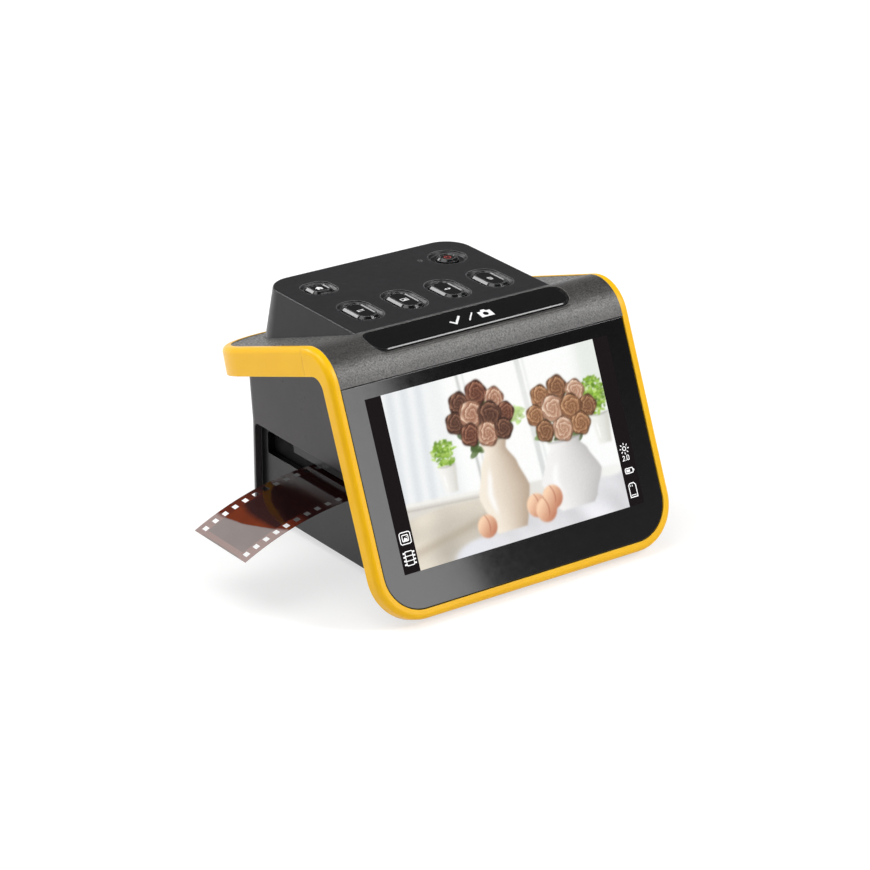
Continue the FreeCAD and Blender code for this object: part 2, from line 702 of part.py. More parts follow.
def keyed_block(gap, start, end):
    """Prism of the stepped section that the film insert and its slot share, smaller by a gap."""
    key = SLOT_KEY_Y + gap
    top = SLOT_TOP - gap
    rear = [(SLOT_REAR_Y - gap, SLOT_FLOOR + gap), (SLOT_REAR_Y - gap, SLOT_KEY_TOP - gap)]
    front = [(SLOT_FRONT_Y + gap, top), (SLOT_FRONT_Y + gap, SLOT_FLOOR + gap)]
    block = profile_prism(rear + [(key, SLOT_KEY_TOP - gap), (key, top)] + front, start, end)

    def outer_corner(point, edge):
        along = abs(edge.tangentAt(edge.FirstParameter).x) > DIAGONAL_SHARE
        return along and not (abs(point.y - key) < FIT_GAP and abs(point.z - top) < FIT_GAP)

    return block.makeFillet(SLOT_CORNER - gap, edges_near(block, outer_corner))


def tower_block(half, wall, rise):
    """Solid tower, or its hollow when a wall is given, below the back housing."""
    top = CREST_Z
    bottom = TOWER_BOTTOM - rise
    rear = [(rear_wall_y(height) - wall, height) for height in (bottom, CHUTE_TOP, top)]
    block = profile_prism([(0, bottom)] + rear + [(0, top)], -half, half)

    def rear_corner(point, edge):
        upright = abs(edge.tangentAt(edge.FirstParameter).z) > DIAGONAL_SHARE
        return upright and point.y > TOWER_REAR_Y / 2 and abs(abs(point.x) - half) < FIT_GAP

    corners = edges_near(block, rear_corner)
    return block.makeFillet(TOWER_CORNER - wall, corners)


def socket_places():
    """Name, middle, width, height and depth of each socket in the rear wall."""
    return [("power_socket", POWER_SOCKET_X, POWER_SOCKET_WIDTH, POWER_SOCKET_HEIGHT, SOCKET_DEPTH),
            ("video_socket", VIDEO_SOCKET_X, VIDEO_SOCKET_WIDTH, VIDEO_SOCKET_HEIGHT, SOCKET_DEPTH),
            ("card_socket", CARD_SOCKET_X, CARD_SOCKET_WIDTH, CARD_SOCKET_HEIGHT, CARD_SOCKET_DEPTH)]


def base_screw_places():
    """Places of the base screws, seen from above."""
    sides = (-BASE_SCREW_SIDE, BASE_SCREW_SIDE)
    rows = (BASE_FRONT_Y + BASE_SCREW_FRONT_INSET, BASE_REAR_Y - BASE_SCREW_REAR_INSET)
    return [(x, y) for y in rows for x in sides]


def tower_shell():
    """Side and rear walls with the recessed film mouths, ledges and screw posts."""
    near = (BACK_DEPTH, BAND_DEPTH, BACK_BEND)
    beyond = skin_layer(near, (OVERRUN, OVERRUN, FIT_GAP), OVERRUN, OVERRUN)
    walls = tower_block(TOWER_HALF, 0, 0).cut(tower_block(TOWER_HALF - TOWER_WALL, TOWER_WALL, OVERRUN))
    extras = []
    for side in (-1, 1):
        x = sorted((side * TOWER_INNER, side * (TOWER_HALF - TOWER_WALL / 2)))
        pad_rear = CHUTE_REAR_Y + CHUTE_PAD_MARGIN
        extras.append(box(*x, 0, pad_rear, TOWER_BOTTOM, CHUTE_TOP + CHUTE_PAD))
        x = sorted((side * (TOWER_INNER - BRIDGE_LEDGE), side * (TOWER_HALF - TOWER_WALL / 2)))
        ledge_bottom = BRIDGE_Z - BRIDGE_LEDGE_HEIGHT
        extras.append(box(*x, FILM_Y - BRIDGE_HALF_Y, FILM_Y + BRIDGE_HALF_Y, ledge_bottom, BRIDGE_Z))
    for x, y in base_screw_places():
        post = cylinder(x, y, BASE_Z + BASE_THICK, BASE_POST_TOP, BOSS_RADIUS + SCREW_RADIUS)
        pilot = cylinder(x, y, 0, BASE_Z + BASE_THICK + SCREW_REACH, SCREW_RADIUS)
        span = sorted((x, math.copysign(TOWER_INNER + FIT_GAP, x)))
        web = box(*span, y - SCREW_RADIUS, y + SCREW_RADIUS, BASE_Z + BASE_THICK, BASE_POST_TOP)
        extras.append(post.fuse(web).cut(pilot))
    body = walls.fuse(extras)
    for side in (-1, 1):
        x = sorted((side * (TOWER_HALF - CHUTE_DEPTH), side * OVERRUN))
        chute = box(*x, -OVERRUN, CHUTE_REAR_Y, -OVERRUN, CHUTE_TOP)
        corner = edges_near(chute, lambda point, edge: point.y > CHUTE_REAR_Y - FIT_GAP
                            and point.z > CHUTE_TOP - FIT_GAP and edge.Length < OVERRUN)
        body = body.cut(chute.makeFillet(CHUTE_CORNER, corner))
    body = body.common(beyond).cut(keyed_block(0, -OVERRUN, OVERRUN))
    for name, x, width, height, depth in socket_places():
        low = MAIN_Z + BOARD_THICK
        room = 2 * FIT_GAP
        body = body.cut(box(x - width / 2 - room, x + width / 2 + room, MAIN_REAR_Y, OVERRUN,
                            low - room, low + height + room))
    return body


def base_plate():
    """Bottom cover with recesses for the feet and posts for the main board."""
    half = TOWER_INNER - FIT_GAP
    top = BASE_Z + BASE_THICK
    plate = rounded_prism(-half, BASE_FRONT_Y, half, BASE_REAR_Y, [BASE_CORNER] * 4, BASE_Z, top)
    for x, y in foot_places():
        plate = plate.cut(cylinder(x, y, 0, BASE_Z + FOOT_RECESS, FOOT_RADIUS + FIT_GAP))
    for x, y in base_screw_places():
        plate = plate.cut(cylinder(x, y, 0, OVERRUN, SCREW_RADIUS + FIT_GAP))
        plate = plate.cut(cylinder(x, y, 0, BASE_Z + SCREW_HEAD, SCREW_HEAD_RADIUS + FIT_GAP))
    posts = [cylinder(x, y, top, MAIN_Z, MAIN_POST_RADIUS) for x, y in main_post_places()]
    return plate.fuse(posts)


def foot_places():
    """Middles of the rubber feet."""
    rows = (BASE_FRONT_Y + FOOT_END_INSET, BASE_REAR_Y - FOOT_END_INSET)
    return [(x, y) for y in rows for x in (-FOOT_SIDE, FOOT_SIDE)]


def rubber_foot(x, y):
    """Round foot with a tapered lower edge."""
    top = BASE_Z + FOOT_RECESS
    foot = cylinder(x, y, FOOT_TAPER, top, FOOT_RADIUS)
    cone = Part.makeCone(FOOT_RADIUS - FOOT_TAPER, FOOT_RADIUS, FOOT_TAPER, Vector(x, y, 0), Z_AXIS)
    return foot.fuse(cone).removeSplitter()


def base_screws():
    """Four screws that hold the base plate."""
    screws = []
    for x, y in base_screw_places():
        seat = BASE_Z + SCREW_HEAD
        head = cylinder(x, y, BASE_Z + FIT_GAP, seat, SCREW_HEAD_RADIUS)
        tip = BASE_Z + BASE_THICK + SCREW_REACH - FIT_GAP
        screws.append(head.fuse(cylinder(x, y, seat, tip, SCREW_RADIUS - FIT_GAP / 2)))
    return Part.makeCompound(screws)


def button_board():
    """Circuit board under the control deck."""
    low = -BOARD_DROP - BOARD_THICK
    board = rounded_prism(-BOARD_HALF, -BOARD_FORE, BOARD_HALF, BOARD_AFT, [BOSS_RADIUS] * 4,
                          low, -BOARD_DROP)
    for x, y in boss_places():
        board = board.cut(cylinder(x, y, low - FIT_GAP, OVERRUN, SCREW_RADIUS + FIT_GAP))
    return placed(board, DECK)


def tact_switch(place, body_height, plunger_height):
    """Square switch with a round plunger, standing on the button board."""
    half = SWITCH_SIZE / 2
    x, y = place
    body = box(x - half, x + half, y - half, y + half, -BOARD_DROP, -BOARD_DROP + body_height)
    top = -BOARD_DROP + body_height
    return placed(body.fuse(cylinder(x, y, top, top + plunger_height, PLUNGER_RADIUS)), DECK)


def deck_switch(place):
    """Switch whose plunger ends one stroke below a deck button."""
    clearance = BUTTON_TRAVEL + FLANGE_GAP
    reach = BOARD_DROP - DECK_TOP - FLANGE_GAP - FLANGE_THICK - clearance
    return tact_switch(place, reach - PLUNGER_HEIGHT, PLUNGER_HEIGHT)


def capture_switch():
    """Low switch below the capture bar's middle stem."""
    tip = BAR.multVec(Vector(0, 0, -BAR_THICK - STEM_REACH))
    back = DECK.inverse().multVec(tip).y
    return tact_switch((0, back), LOW_SWITCH_HEIGHT, LOW_PLUNGER_HEIGHT)


def status_light():
    """Light pipe from the button board to the deck's surface."""
    return placed(cylinder(LIGHT_SIDE, LIGHT_BACK, -BOARD_DROP + FIT_GAP, -FIT_GAP, LIGHT_RADIUS), DECK)


def film_channel():
    """Tray that guides the film insert from one mouth to the other."""
    x = TOWER_INNER - FIT_GAP
    low_y = INSERT_FRONT_Y - SLIDE_GAP - CHANNEL_RAIL
    high_y = INSERT_REAR_Y + SLIDE_GAP + CHANNEL_RAIL
    floor = box(-x, x, low_y, high_y, CHANNEL_BOTTOM, CHANNEL_TOP)
    rail_top = CHANNEL_TOP + CHANNEL_RAIL_HEIGHT
    rails = [box(-x, x, low_y, low_y + CHANNEL_RAIL, CHANNEL_TOP, rail_top),
             box(-x, x, high_y - CHANNEL_RAIL, high_y, CHANNEL_TOP, rail_top)]
    margin = CHANNEL_WINDOW_MARGIN
    window = gate_prism(margin, CHANNEL_BOTTOM - FIT_GAP, CHANNEL_TOP + FIT_GAP)
    return floor.fuse(rails).cut(window)


def gate_prism(margin, low, high):
    """Upright prism on the picture gate, with a margin round it."""
    x = GATE_WIDTH / 2 + margin
    y = GATE_HEIGHT / 2 + margin
    corner = [GATE_CORNER + margin / 2] * 4
    return rounded_prism(-x, FILM_Y - y, x, FILM_Y + y, corner, low, high)


def insert_block():
    """Whole film insert, closed, with its gate, film bed, pin hole and grip ribs."""
    block = keyed_block(SLIDE_GAP, INSERT_LEFT, INSERT_RIGHT)
    block = block.cut(gate_prism(0, INSERT_FLOOR - FIT_GAP, INSERT_TOP + FIT_GAP))
    half = FILM_WIDTH / 2 + SLIDE_GAP
    bed = box(INSERT_LEFT - FIT_GAP, INSERT_RIGHT + FIT_GAP, FILM_Y - half, FILM_Y + half,
              INSERT_SPLIT, INSERT_SPLIT + FILM_ROOM)
    block = block.cut(bed)
    grooves = []
    for number in range(GRIP_RIBS):
        x = INSERT_RIGHT - (number + 1) * GRIP_PITCH
        grooves.append(box(x - GRIP_RIB, x, INSERT_FRONT_Y - FIT_GAP, INSERT_KEY_Y - GRIP_PITCH,
                           INSERT_TOP - GRIP_DEPTH, INSERT_TOP + FIT_GAP))
    return block.cut(Part.makeCompound(grooves))


def hinge_pin_place():
    """Y and Z of the insert's hinge pin."""
    return INSERT_REAR_Y - HINGE_BACK, (INSERT_SPLIT + INSERT_KEY_TOP) / 2


def insert_hinge_pin():
    """Thin pin that joins the insert's two halves."""
    y, z = hinge_pin_place()
    start = Vector(INSERT_LEFT + GRIP_PITCH, y, z)
    length = INSERT_RIGHT - INSERT_LEFT - 2 * GRIP_PITCH
    return Part.makeCylinder(HINGE_PIN_RADIUS, length, start, X_AXIS)


def film_insert_parts():
    """Lower half and lid of the insert."""
    block = insert_block()
    y, z = hinge_pin_place()
    start = Vector(INSERT_LEFT - FIT_GAP, y, z)
    hole = Part.makeCylinder(HINGE_PIN_RADIUS, INSERT_RIGHT - INSERT_LEFT + 2 * FIT_GAP, start, X_AXIS)
    block = block.cut(hole)
    lower = block.common(box(-OVERRUN, OVERRUN, 0, OVERRUN, 0, INSERT_SPLIT))
    lid = block.common(box(-OVERRUN, OVERRUN, 0, OVERRUN, INSERT_SPLIT, OVERRUN))
    return lower, lid


def film_strip():
    """Perforated strip, straight in the insert and curling down outside the left mouth."""
    sweep = math.asin(FILM_DROOP_REACH / FILM_CURL_RADIUS)
    straight = FILM_LENGTH - sweep * FILM_CURL_RADIUS
    top = FILM_Z + FILM_THICK / 2
    centre = Vector(FILM_BEND_X, 0, top - FILM_CURL_RADIUS)

    def on_curl(angle, radius):
        return centre + Vector(-math.sin(angle) * radius, 0, math.cos(angle) * radius)

    def curl(radius):
        ends = [on_curl(share * sweep, radius) for share in (0, 1 / 2, 1)]
        return Part.Arc(*ends).toShape(), ends[0], ends[-1]

    upper, upper_start, upper_tip = curl(FILM_CURL_RADIUS)
    lower, lower_start, lower_tip = curl(FILM_CURL_RADIUS - FILM_THICK)
    far = Vector(straight, 0, 0)
    upper_end = upper_start + far
    lower_end = lower_start + far
    edges = [upper, lower, Part.makeLine(upper_tip, lower_tip), Part.makeLine(upper_end, lower_end)]
    edges += [Part.makeLine(upper_start, upper_end), Part.makeLine(lower_start, lower_end)]
    face = Part.Face(Part.Wire(Part.__sortEdges__(edges)))
    strip = face.extrude(Vector(0, FILM_WIDTH, 0))
    strip.translate(Vector(0, FILM_Y - FILM_WIDTH / 2, 0))
    punches = []
    count = int((FILM_LENGTH - HOLE_FIRST) / HOLE_PITCH) + 1
    for number in range(count):
        along = HOLE_FIRST + number * HOLE_PITCH
        angle = max(sweep - along / FILM_CURL_RADIUS, 0)
        beyond = max(along - sweep * FILM_CURL_RADIUS, 0)
        point = on_curl(angle, FILM_CURL_RADIUS) + Vector(beyond, 0, 0)
        for side in (-1, 1):
            punch = Part.makeBox(HOLE_WIDE, HOLE_LONG, 2 * HOLE_WIDE,
                                 Vector(-HOLE_WIDE / 2, -HOLE_LONG / 2, -HOLE_WIDE))
            turn = FreeCAD.Rotation(Y_AXIS, -math.degrees(angle))
            edge = FILM_WIDTH / 2 - HOLE_INSET - HOLE_LONG / 2
            place = Vector(point.x, FILM_Y + side * edge, point.z)
            punch.Placement = FreeCAD.Placement(place, turn)
            punches.append(punch)
    return strip.cut(Part.makeCompound(punches))


def light_box_block(inset, low, high):
    """Block on the light box's outline, smaller by an inset, between two heights."""
    x = LIGHT_BOX_HALF_X - inset
    y = LIGHT_BOX_HALF_Y - inset
    return box(-x, x, FILM_Y - y, FILM_Y + y, low, high)


def light_box():
    """Square tube that carries the diffuser and holds the light board."""
    low = BASE_Z + BASE_THICK
    outer = light_box_block(0, low, CHANNEL_BOTTOM)
    inset = LIGHT_BOX_WALL
    inner = light_box_block(inset, low - inset, CHANNEL_BOTTOM + inset)
    ledge_top = CHANNEL_BOTTOM - DIFFUSER_SINK - DIFFUSER_THICK
    ledge = outer.cut(gate_prism(CHANNEL_WINDOW_MARGIN / 2, low - inset, OVERRUN))
    ledge = ledge.common(box(-OVERRUN, OVERRUN, 0, OVERRUN, ledge_top - inset, ledge_top))
    shelf_top = low + LED_BOARD_LIFT
    shelf = outer.cut(gate_prism(CHANNEL_WINDOW_MARGIN / 2, low - inset, OVERRUN))
    shelf = shelf.common(box(-OVERRUN, OVERRUN, 0, OVERRUN, shelf_top - inset, shelf_top))
    return outer.cut(inner).fuse([ledge, shelf])


def diffuser():
    """White sheet just under the channel's window."""
    top = CHANNEL_BOTTOM - DIFFUSER_SINK
    return light_box_block(LIGHT_BOX_WALL + FIT_GAP, top - DIFFUSER_THICK, top)


def light_board():
    """Circuit board of the backlight."""
    low = BASE_Z + BASE_THICK + LED_BOARD_LIFT
    return light_box_block(LIGHT_BOX_WALL + FIT_GAP, low, low + LED_BOARD_THICK)


def light_diodes():
    """Grid of diodes on the backlight board."""
    low = BASE_Z + BASE_THICK + LED_BOARD_LIFT + LED_BOARD_THICK
    half = LED_SIZE / 2
    diodes = []
    for column in range(LED_COLUMNS):
        for row in range(LED_ROWS):
            x = (column - (LED_COLUMNS - 1) / 2) * LED_PITCH
            y = FILM_Y + (row - (LED_ROWS - 1) / 2) * LED_PITCH
            diodes.append(box(x - half, x + half, y - half, y + half, low, low + LED_HEIGHT))
    return Part.makeCompound(diodes)


def camera_bridge():
    """Cross plate on the tower's ledges that carries the camera."""
    x = TOWER_HALF - TOWER_WALL - FIT_GAP
    plate = box(-x, x, FILM_Y - BRIDGE_HALF_Y, FILM_Y + BRIDGE_HALF_Y,
                BRIDGE_Z, BRIDGE_Z + BRIDGE_THICK)
    return plate.cut(cylinder(0, FILM_Y, 0, OVERRUN, BARREL_RADIUS + FIT_GAP / 2))


def lens_barrel():
    """Stepped tube that hangs through the bridge."""
    top = BRIDGE_Z + BRIDGE_THICK
    collar = cylinder(0, FILM_Y, top, top + BARREL_COLLAR_THICK, BARREL_COLLAR)
    tube = cylinder(0, FILM_Y, BARREL_BOTTOM, top, BARREL_RADIUS)
    bore = cylinder(0, FILM_Y, BARREL_BOTTOM - FIT_GAP, OVERRUN, BARREL_BORE)
    seat = cylinder(0, FILM_Y, BARREL_BOTTOM - FIT_GAP, BARREL_BOTTOM + LENS_SINK + LENS_THICK,
                    LENS_RADIUS + FIT_GAP / 2)
    return tube.fuse(collar).cut(bore.fuse(seat))


def lens_glass():
    """Front lens in the barrel's seat."""
    low = BARREL_BOTTOM + LENS_SINK
    return cylinder(0, FILM_Y, low, low + LENS_THICK, LENS_RADIUS)


def camera_board():
    """Small board on top of the barrel."""
    half = CAMERA_BOARD_SIZE / 2
    low = BRIDGE_Z + BRIDGE_THICK + BARREL_COLLAR_THICK
    return box(-half, half, FILM_Y - half, FILM_Y + half, low, low + BOARD_THICK)


def image_sensor():
    """Image sensor on the camera board's lower face, inside the barrel."""
    half = SENSOR_SIZE / 2
    top = BRIDGE_Z + BRIDGE_THICK + BARREL_COLLAR_THICK
    return box(-half, half, FILM_Y - half, FILM_Y + half, top - SENSOR_HEIGHT, top)


def main_post_places():
    """Posts under the main board."""
    rows = (MAIN_FRONT_Y + MAIN_POST_INSET, MAIN_REAR_Y - MAIN_POST_INSET)
    return [(x, y) for y in rows for x in (-MAIN_POST_SIDE, MAIN_POST_SIDE)]


def main_board():
    """Circuit board behind the light box, with its rear edge at the sockets."""
    board = rounded_prism(-MAIN_HALF, MAIN_FRONT_Y, MAIN_HALF, MAIN_REAR_Y, [MAIN_POST_RADIUS] * 4,
                          MAIN_Z, MAIN_Z + BOARD_THICK)
    for x, y in base_screw_places():
        board = board.cut(cylinder(x, y, 0, OVERRUN, BOSS_RADIUS + SCREW_RADIUS + 2 * FIT_GAP))
        edge = math.copysign(MAIN_HALF + BOARD_THICK, x)
        clear = SCREW_RADIUS + 2 * FIT_GAP
        board = board.cut(box(*sorted((x, edge)), y - clear, y + clear, 0, OVERRUN))
    return board


def processor():
    """Processor chip on the main board."""
    low = MAIN_Z + BOARD_THICK
    half = CHIP_SIZE / 2
    y = MAIN_FRONT_Y + CHIP_INSET
    return box(CHIP_X - half, CHIP_X + half, y - half, y + half, low, low + CHIP_HEIGHT)


def socket(x, width, height, depth):
    """Open-ended metal socket on the main board's rear edge."""
    low = MAIN_Z + BOARD_THICK
    rear = rear_wall_y(low) - TOWER_WALL / 2
    outer = box(x - width / 2, x + width / 2, rear - depth, rear, low, low + height)
    wall = SOCKET_WALL
    side = width / 2 - wall
    mouth = box(x - side, x + side, rear - depth + 2 * wall, rear + wall,
                low + wall, low + height - wall)
    middle = low + height / 2
    tongue = box(x - side + wall, x + side - wall, rear - depth + wall, rear - 2 * wall,
                 middle - wall / 2, middle + wall / 2)
    return outer.cut(mouth).fuse(tongue)


def build():
    """Every piece of the scanner by name."""
    ring = trim_ring()
    lower, lid = film_insert_parts()
    parts = {
        "front_trim": front_trim(ring),
        "rear_band": rear_band(ring),
        "front_fascia": front_fascia(),
        "screen_glass": screen_glass(),
        "lcd_panel": lcd_panel(),
        "lcd_bracket": lcd_bracket(),
        "back_housing": back_housing(),
        "shoulder_plate": shoulder_plate(),
        "control_deck": control_deck(),
        "tower_shell": tower_shell(),
        "base_plate": base_plate(),
        "base_screws": base_screws(),
        "capture_bar": capture_bar(),
        "button_board": button_board(),
        "capture_switch": capture_switch(),
        "status_light": status_light(),
        "film_channel": film_channel(),
        "film_insert_base": lower,
        "film_insert_lid": lid,
        "insert_hinge_pin": insert_hinge_pin(),
        "film_strip": film_strip(),
        "light_box": light_box(),
        "diffuser": diffuser(),
        "light_board": light_board(),
        "light_diodes": light_diodes(),
        "camera_bridge": camera_bridge(),
        "lens_barrel": lens_barrel(),
        "lens_glass": lens_glass(),
        "camera_board": camera_board(),
        "image_sensor": image_sensor(),
        "main_board": main_board(),
        "processor": processor(),
    }
    for name, size, margin, place in button_places():
        parts[name] = deck_button(size, place)
        parts[name.replace("button", "switch")] = deck_switch(place)
    for number, (x, y) in enumerate(foot_places()):
        parts["rubber_foot_%d" % (number + 1)] = rubber_foot(x, y)
    for name, x, width, height, depth in socket_places():
        parts[name] = socket(x, width, height, depth)
    to_origin = FreeCAD.Placement(Vector(0, -ORIGIN_Y, 0), FreeCAD.Rotation())
    return {name: placed(shape, to_origin) for name, shape in parts.items()}


os.makedirs("parts", exist_ok=True)
for node, solid in build().items():
    solid.exportStep("parts/%s.step" % node)
    volume = round(solid.Volume, 1)
    print(node, "solids", len(solid.Solids), "valid", solid.isValid(), "volume", volume)
print("screen line at y", -ORIGIN_Y, "film row at y", FILM_Y - ORIGIN_Y)
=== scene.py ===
import math

import bpy
import numpy as np
from mathutils import Matrix, Vector


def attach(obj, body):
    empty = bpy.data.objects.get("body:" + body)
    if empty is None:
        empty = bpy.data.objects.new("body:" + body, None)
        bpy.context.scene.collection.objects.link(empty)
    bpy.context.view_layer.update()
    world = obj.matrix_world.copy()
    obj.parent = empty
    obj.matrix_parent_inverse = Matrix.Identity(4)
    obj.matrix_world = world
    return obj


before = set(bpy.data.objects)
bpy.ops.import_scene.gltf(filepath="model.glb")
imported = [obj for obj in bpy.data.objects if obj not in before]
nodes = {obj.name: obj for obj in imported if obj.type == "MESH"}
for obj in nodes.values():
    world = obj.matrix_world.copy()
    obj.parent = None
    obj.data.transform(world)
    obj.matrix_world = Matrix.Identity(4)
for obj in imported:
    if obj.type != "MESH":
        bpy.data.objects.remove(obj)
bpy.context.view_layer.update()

MM = 0.001
LEAN = math.radians(22.4)
SCREEN_Y = -66.193
DECK_PLACE = (55.089 + SCREEN_Y, 96.895, math.radians(1.0))
BAR_PLACE = (46.889 + SCREEN_Y, 95.995, math.radians(13.0))

# heights out of the screen, bar and deck planes, in millimetres
FACE = -0.25
PICTURE_HEIGHT = FACE + 0.02
STRIP_HEIGHT = FACE + 0.012
SCREEN_MARK_HEIGHT = FACE + 0.022
BAR_MARK_HEIGHT = 0.012
BUTTON_MARK_HEIGHT = -0.04

# sides of the lit picture and outer side of the dark strips, in the screen plane
PICTURE = (-49.1, 49.1, 21.2, 87.1)
STRIP_END = 56.2

# film: its middle line, the pitch and first edge of its frames, in millimetres
FILM_Y = -0.374
FRAME_PITCH = 38.0
FRAME_START = 97.2

# tower: distance of the inner face of its side walls from the middle, in metres; nearer the middle the tower plastic
# is painted near black, as painted shade inside the slot
WALL_INSIDE = (0.0472, 0.0476)

# camera fitted to the photo, and the lamps: name, place, target, size, power
CAMERA_PLACE = (-0.6729, -0.936193, 0.5274)
CAMERA_HEADING = math.radians(35.662)
CAMERA_PITCH = math.radians(22.850)
CAMERA_LENS = 134.406
LAMPS = [
    ("key", (-0.5, 0.3, 1.6), (0, 0, 0.05), (1.2, 1.2), 14.0),
    ("fill", (0.76, -0.80, 1.0), (0, 0, 0.08), (0.36, 0.56), 9.5),
    ("rear", (-0.58, 1.13, 0.8), (0, 0, 0.08), (0.5, 0.5), 7.0),
    ("card", (0.57, -1.377, 0.33), (0.57, 0, 0.33), (0.54, 0.62), 4.8),
]


def srgb(*levels):
    """Linear colour for 0 to 255 levels as a picture shows them."""
    linear = []
    for level in levels:
        share = level / 255
        linear.append(share / 12.92 if share <= 0.04045 else ((share + 0.055) / 1.055) ** 2.4)
    return tuple(linear) + (1.0,)


def plane(y, z, tilt):
    """Matrix from millimetres in a tilted plane (right, up the plane, out of it) to the row frame."""
    return Matrix.Translation((0, y * MM, z * MM)) @ Matrix.Rotation(tilt, 4, "X") @ Matrix.Scale(MM, 4)


SCREEN = plane(SCREEN_Y, 0, math.pi / 2 - LEAN)
DECK = plane(*DECK_PLACE)
BAR = plane(*BAR_PLACE)


# ---------------------------------------------------------------- materials

class Tree:
    """Node tree of a new material or of a world, built with short calls."""

    def __init__(self, name, world=None):
        self.material = world or bpy.data.materials.new(name)
        self.material.use_nodes = True
        self.tree = self.material.node_tree
        self.tree.nodes.clear()
        self.output = self.add("ShaderNodeOutputWorld" if world else "ShaderNodeOutputMaterial")
        self.coords = self.add("ShaderNodeTexCoord").outputs["Generated" if world else "Object"]

    def add(self, kind, settings=None, **inputs):
        node = self.tree.nodes.new(kind)
        for key, value in (settings or {}).items():
            setattr(node, key, value)
        for key, value in inputs.items():
            self.put(node, key.replace("_", " "), value)
        return node

    def put(self, node, key, value):
        socket = node.inputs[int(key[1:])] if key[0] == "n" and key[1:].isdigit() else node.inputs[key]
        if isinstance(value, bpy.types.NodeSocket):
            self.tree.links.new(value, socket)
        else:
            socket.default_value = value

    def noise(self, scale, detail=3.0, roughness=0.55, coords=None, distortion=0.0):
        node = self.add("ShaderNodeTexNoise", Scale=scale, Detail=detail, Roughness=roughness, Distortion=distortion)
        self.put(node, "Vector", coords or self.coords)
        return node.outputs["Fac"]

    def cells(self, scale):
        return self.add("ShaderNodeTexVoronoi", Vector=self.coords, Scale=scale).outputs["Distance"]

    def spread(self, value, low, high, start=0.3, end=0.7):
        node = self.add("ShaderNodeMapRange", n0=value, n1=start, n2=end, n3=low, n4=high)
        return node.outputs[0]

    def math(self, operation, first, second=0.0):
        return self.add("ShaderNodeMath", {"operation": operation}, n0=first, n1=second).outputs[0]

    def mix(self, share, first, second):
        node = self.add("ShaderNodeMix", {"data_type": "RGBA"})
        self.put(node, "n0", share)
        self.put(node, "n6", first)
        self.put(node, "n7", second)
        return node.outputs[2]

    def wear_and_painted_edge_highlight(self, base, colour, share=1.0, radius=0.0003):
        """Base colour with a painted highlight that makes it paler along the edges, and a normal that runs round them.
        """
        eased = self.add("ShaderNodeBevel", {"samples": 6}, Radius=radius).outputs[0]
        flat = self.add("ShaderNodeNewGeometry").outputs["Normal"]
        along = self.add("ShaderNodeVectorMath", {"operation": "DOT_PRODUCT"}, n0=eased, n1=flat).outputs["Value"]
        return self.mix(self.spread(along, share, 0.0, 0.84, 0.985), base, colour), eased

    def bump(self, height, distance, strength=1.0, normal=None):
        node = self.add("ShaderNodeBump", Strength=strength, Distance=distance, Height=height)
        if normal is not None:
            self.put(node, "Normal", normal)
        return node.outputs[0]

    def shade(self, **inputs):
        shader = self.add("ShaderNodeBsdfPrincipled")
        for key, value in inputs.items():
            self.put(shader, key.replace("_", " "), value)
        self.put(self.output, "Surface", shader.outputs[0])
        return self.material


def tinted(colour, factor):
    return tuple(min(channel * factor, 1.0) for channel in colour[:3]) + (1.0,)


def moulded(name, colour, roughness, grain, depth, mottle=0.12, spread=0.08, specular=0.5, edges=None):
    """Moulded plastic: fine grain in the relief, slow mottling in the colour and uneven gloss; given an edge colour, a
    painted highlight along the edges.
    """
    tree = Tree(name)
    slow = tree.noise(38.0, 4.0)
    fine = tree.noise(grain, 4.0, 0.65)
    wear_and_painted_edge_highlight = tree.noise(260.0, 5.0, 0.6)
    base = tree.mix(tree.spread(slow, 0.0, 1.0), tinted(colour, 1 - mottle), tinted(colour, 1 + mottle))
    gloss = tree.math("ADD", tree.spread(wear_and_painted_edge_highlight, roughness - spread, roughness + spread), tree.spread(fine, -0.03, 0.03))
    eased = None
    if edges:
        # painted highlight: the base colour is paler along the edges
        base, eased = tree.wear_and_painted_edge_highlight(base, edges, 1.0, 0.0003)
    relief = tree.bump(fine, depth, 0.6, eased)
    relief = tree.bump(wear_and_painted_edge_highlight, depth, 0.15, relief)
    return tree.shade(Base_Color=base, Roughness=gloss, Normal=relief, Specular_IOR_Level=specular)


def yellow_plastic():
    tree = Tree("yellow_moulding")
    slow = tree.noise(30.0, 3.0)
    fine = tree.noise(5200.0, 3.0, 0.6)
    wave = tree.noise(90.0, 2.0)
    base = tree.mix(tree.spread(slow, 0.0, 1.0), srgb(247, 187, 0), srgb(251, 195, 4))
    base = tree.mix(tree.spread(fine, 0.0, 0.10), base, srgb(236, 162, 0))
    gloss = tree.math("ADD", tree.spread(wave, 0.30, 0.38), tree.spread(fine, -0.04, 0.04))
    # painted highlight: the yellow is paler along the edges
    base, eased = tree.wear_and_painted_edge_highlight(base, srgb(255, 226, 116), 0.6)
    relief = tree.bump(fine, 0.00003, 0.35, eased)
    relief = tree.bump(wave, 0.0002, 0.05, relief)
    return tree.shade(Base_Color=base, Roughness=gloss, Normal=relief, Specular_IOR_Level=0.27)


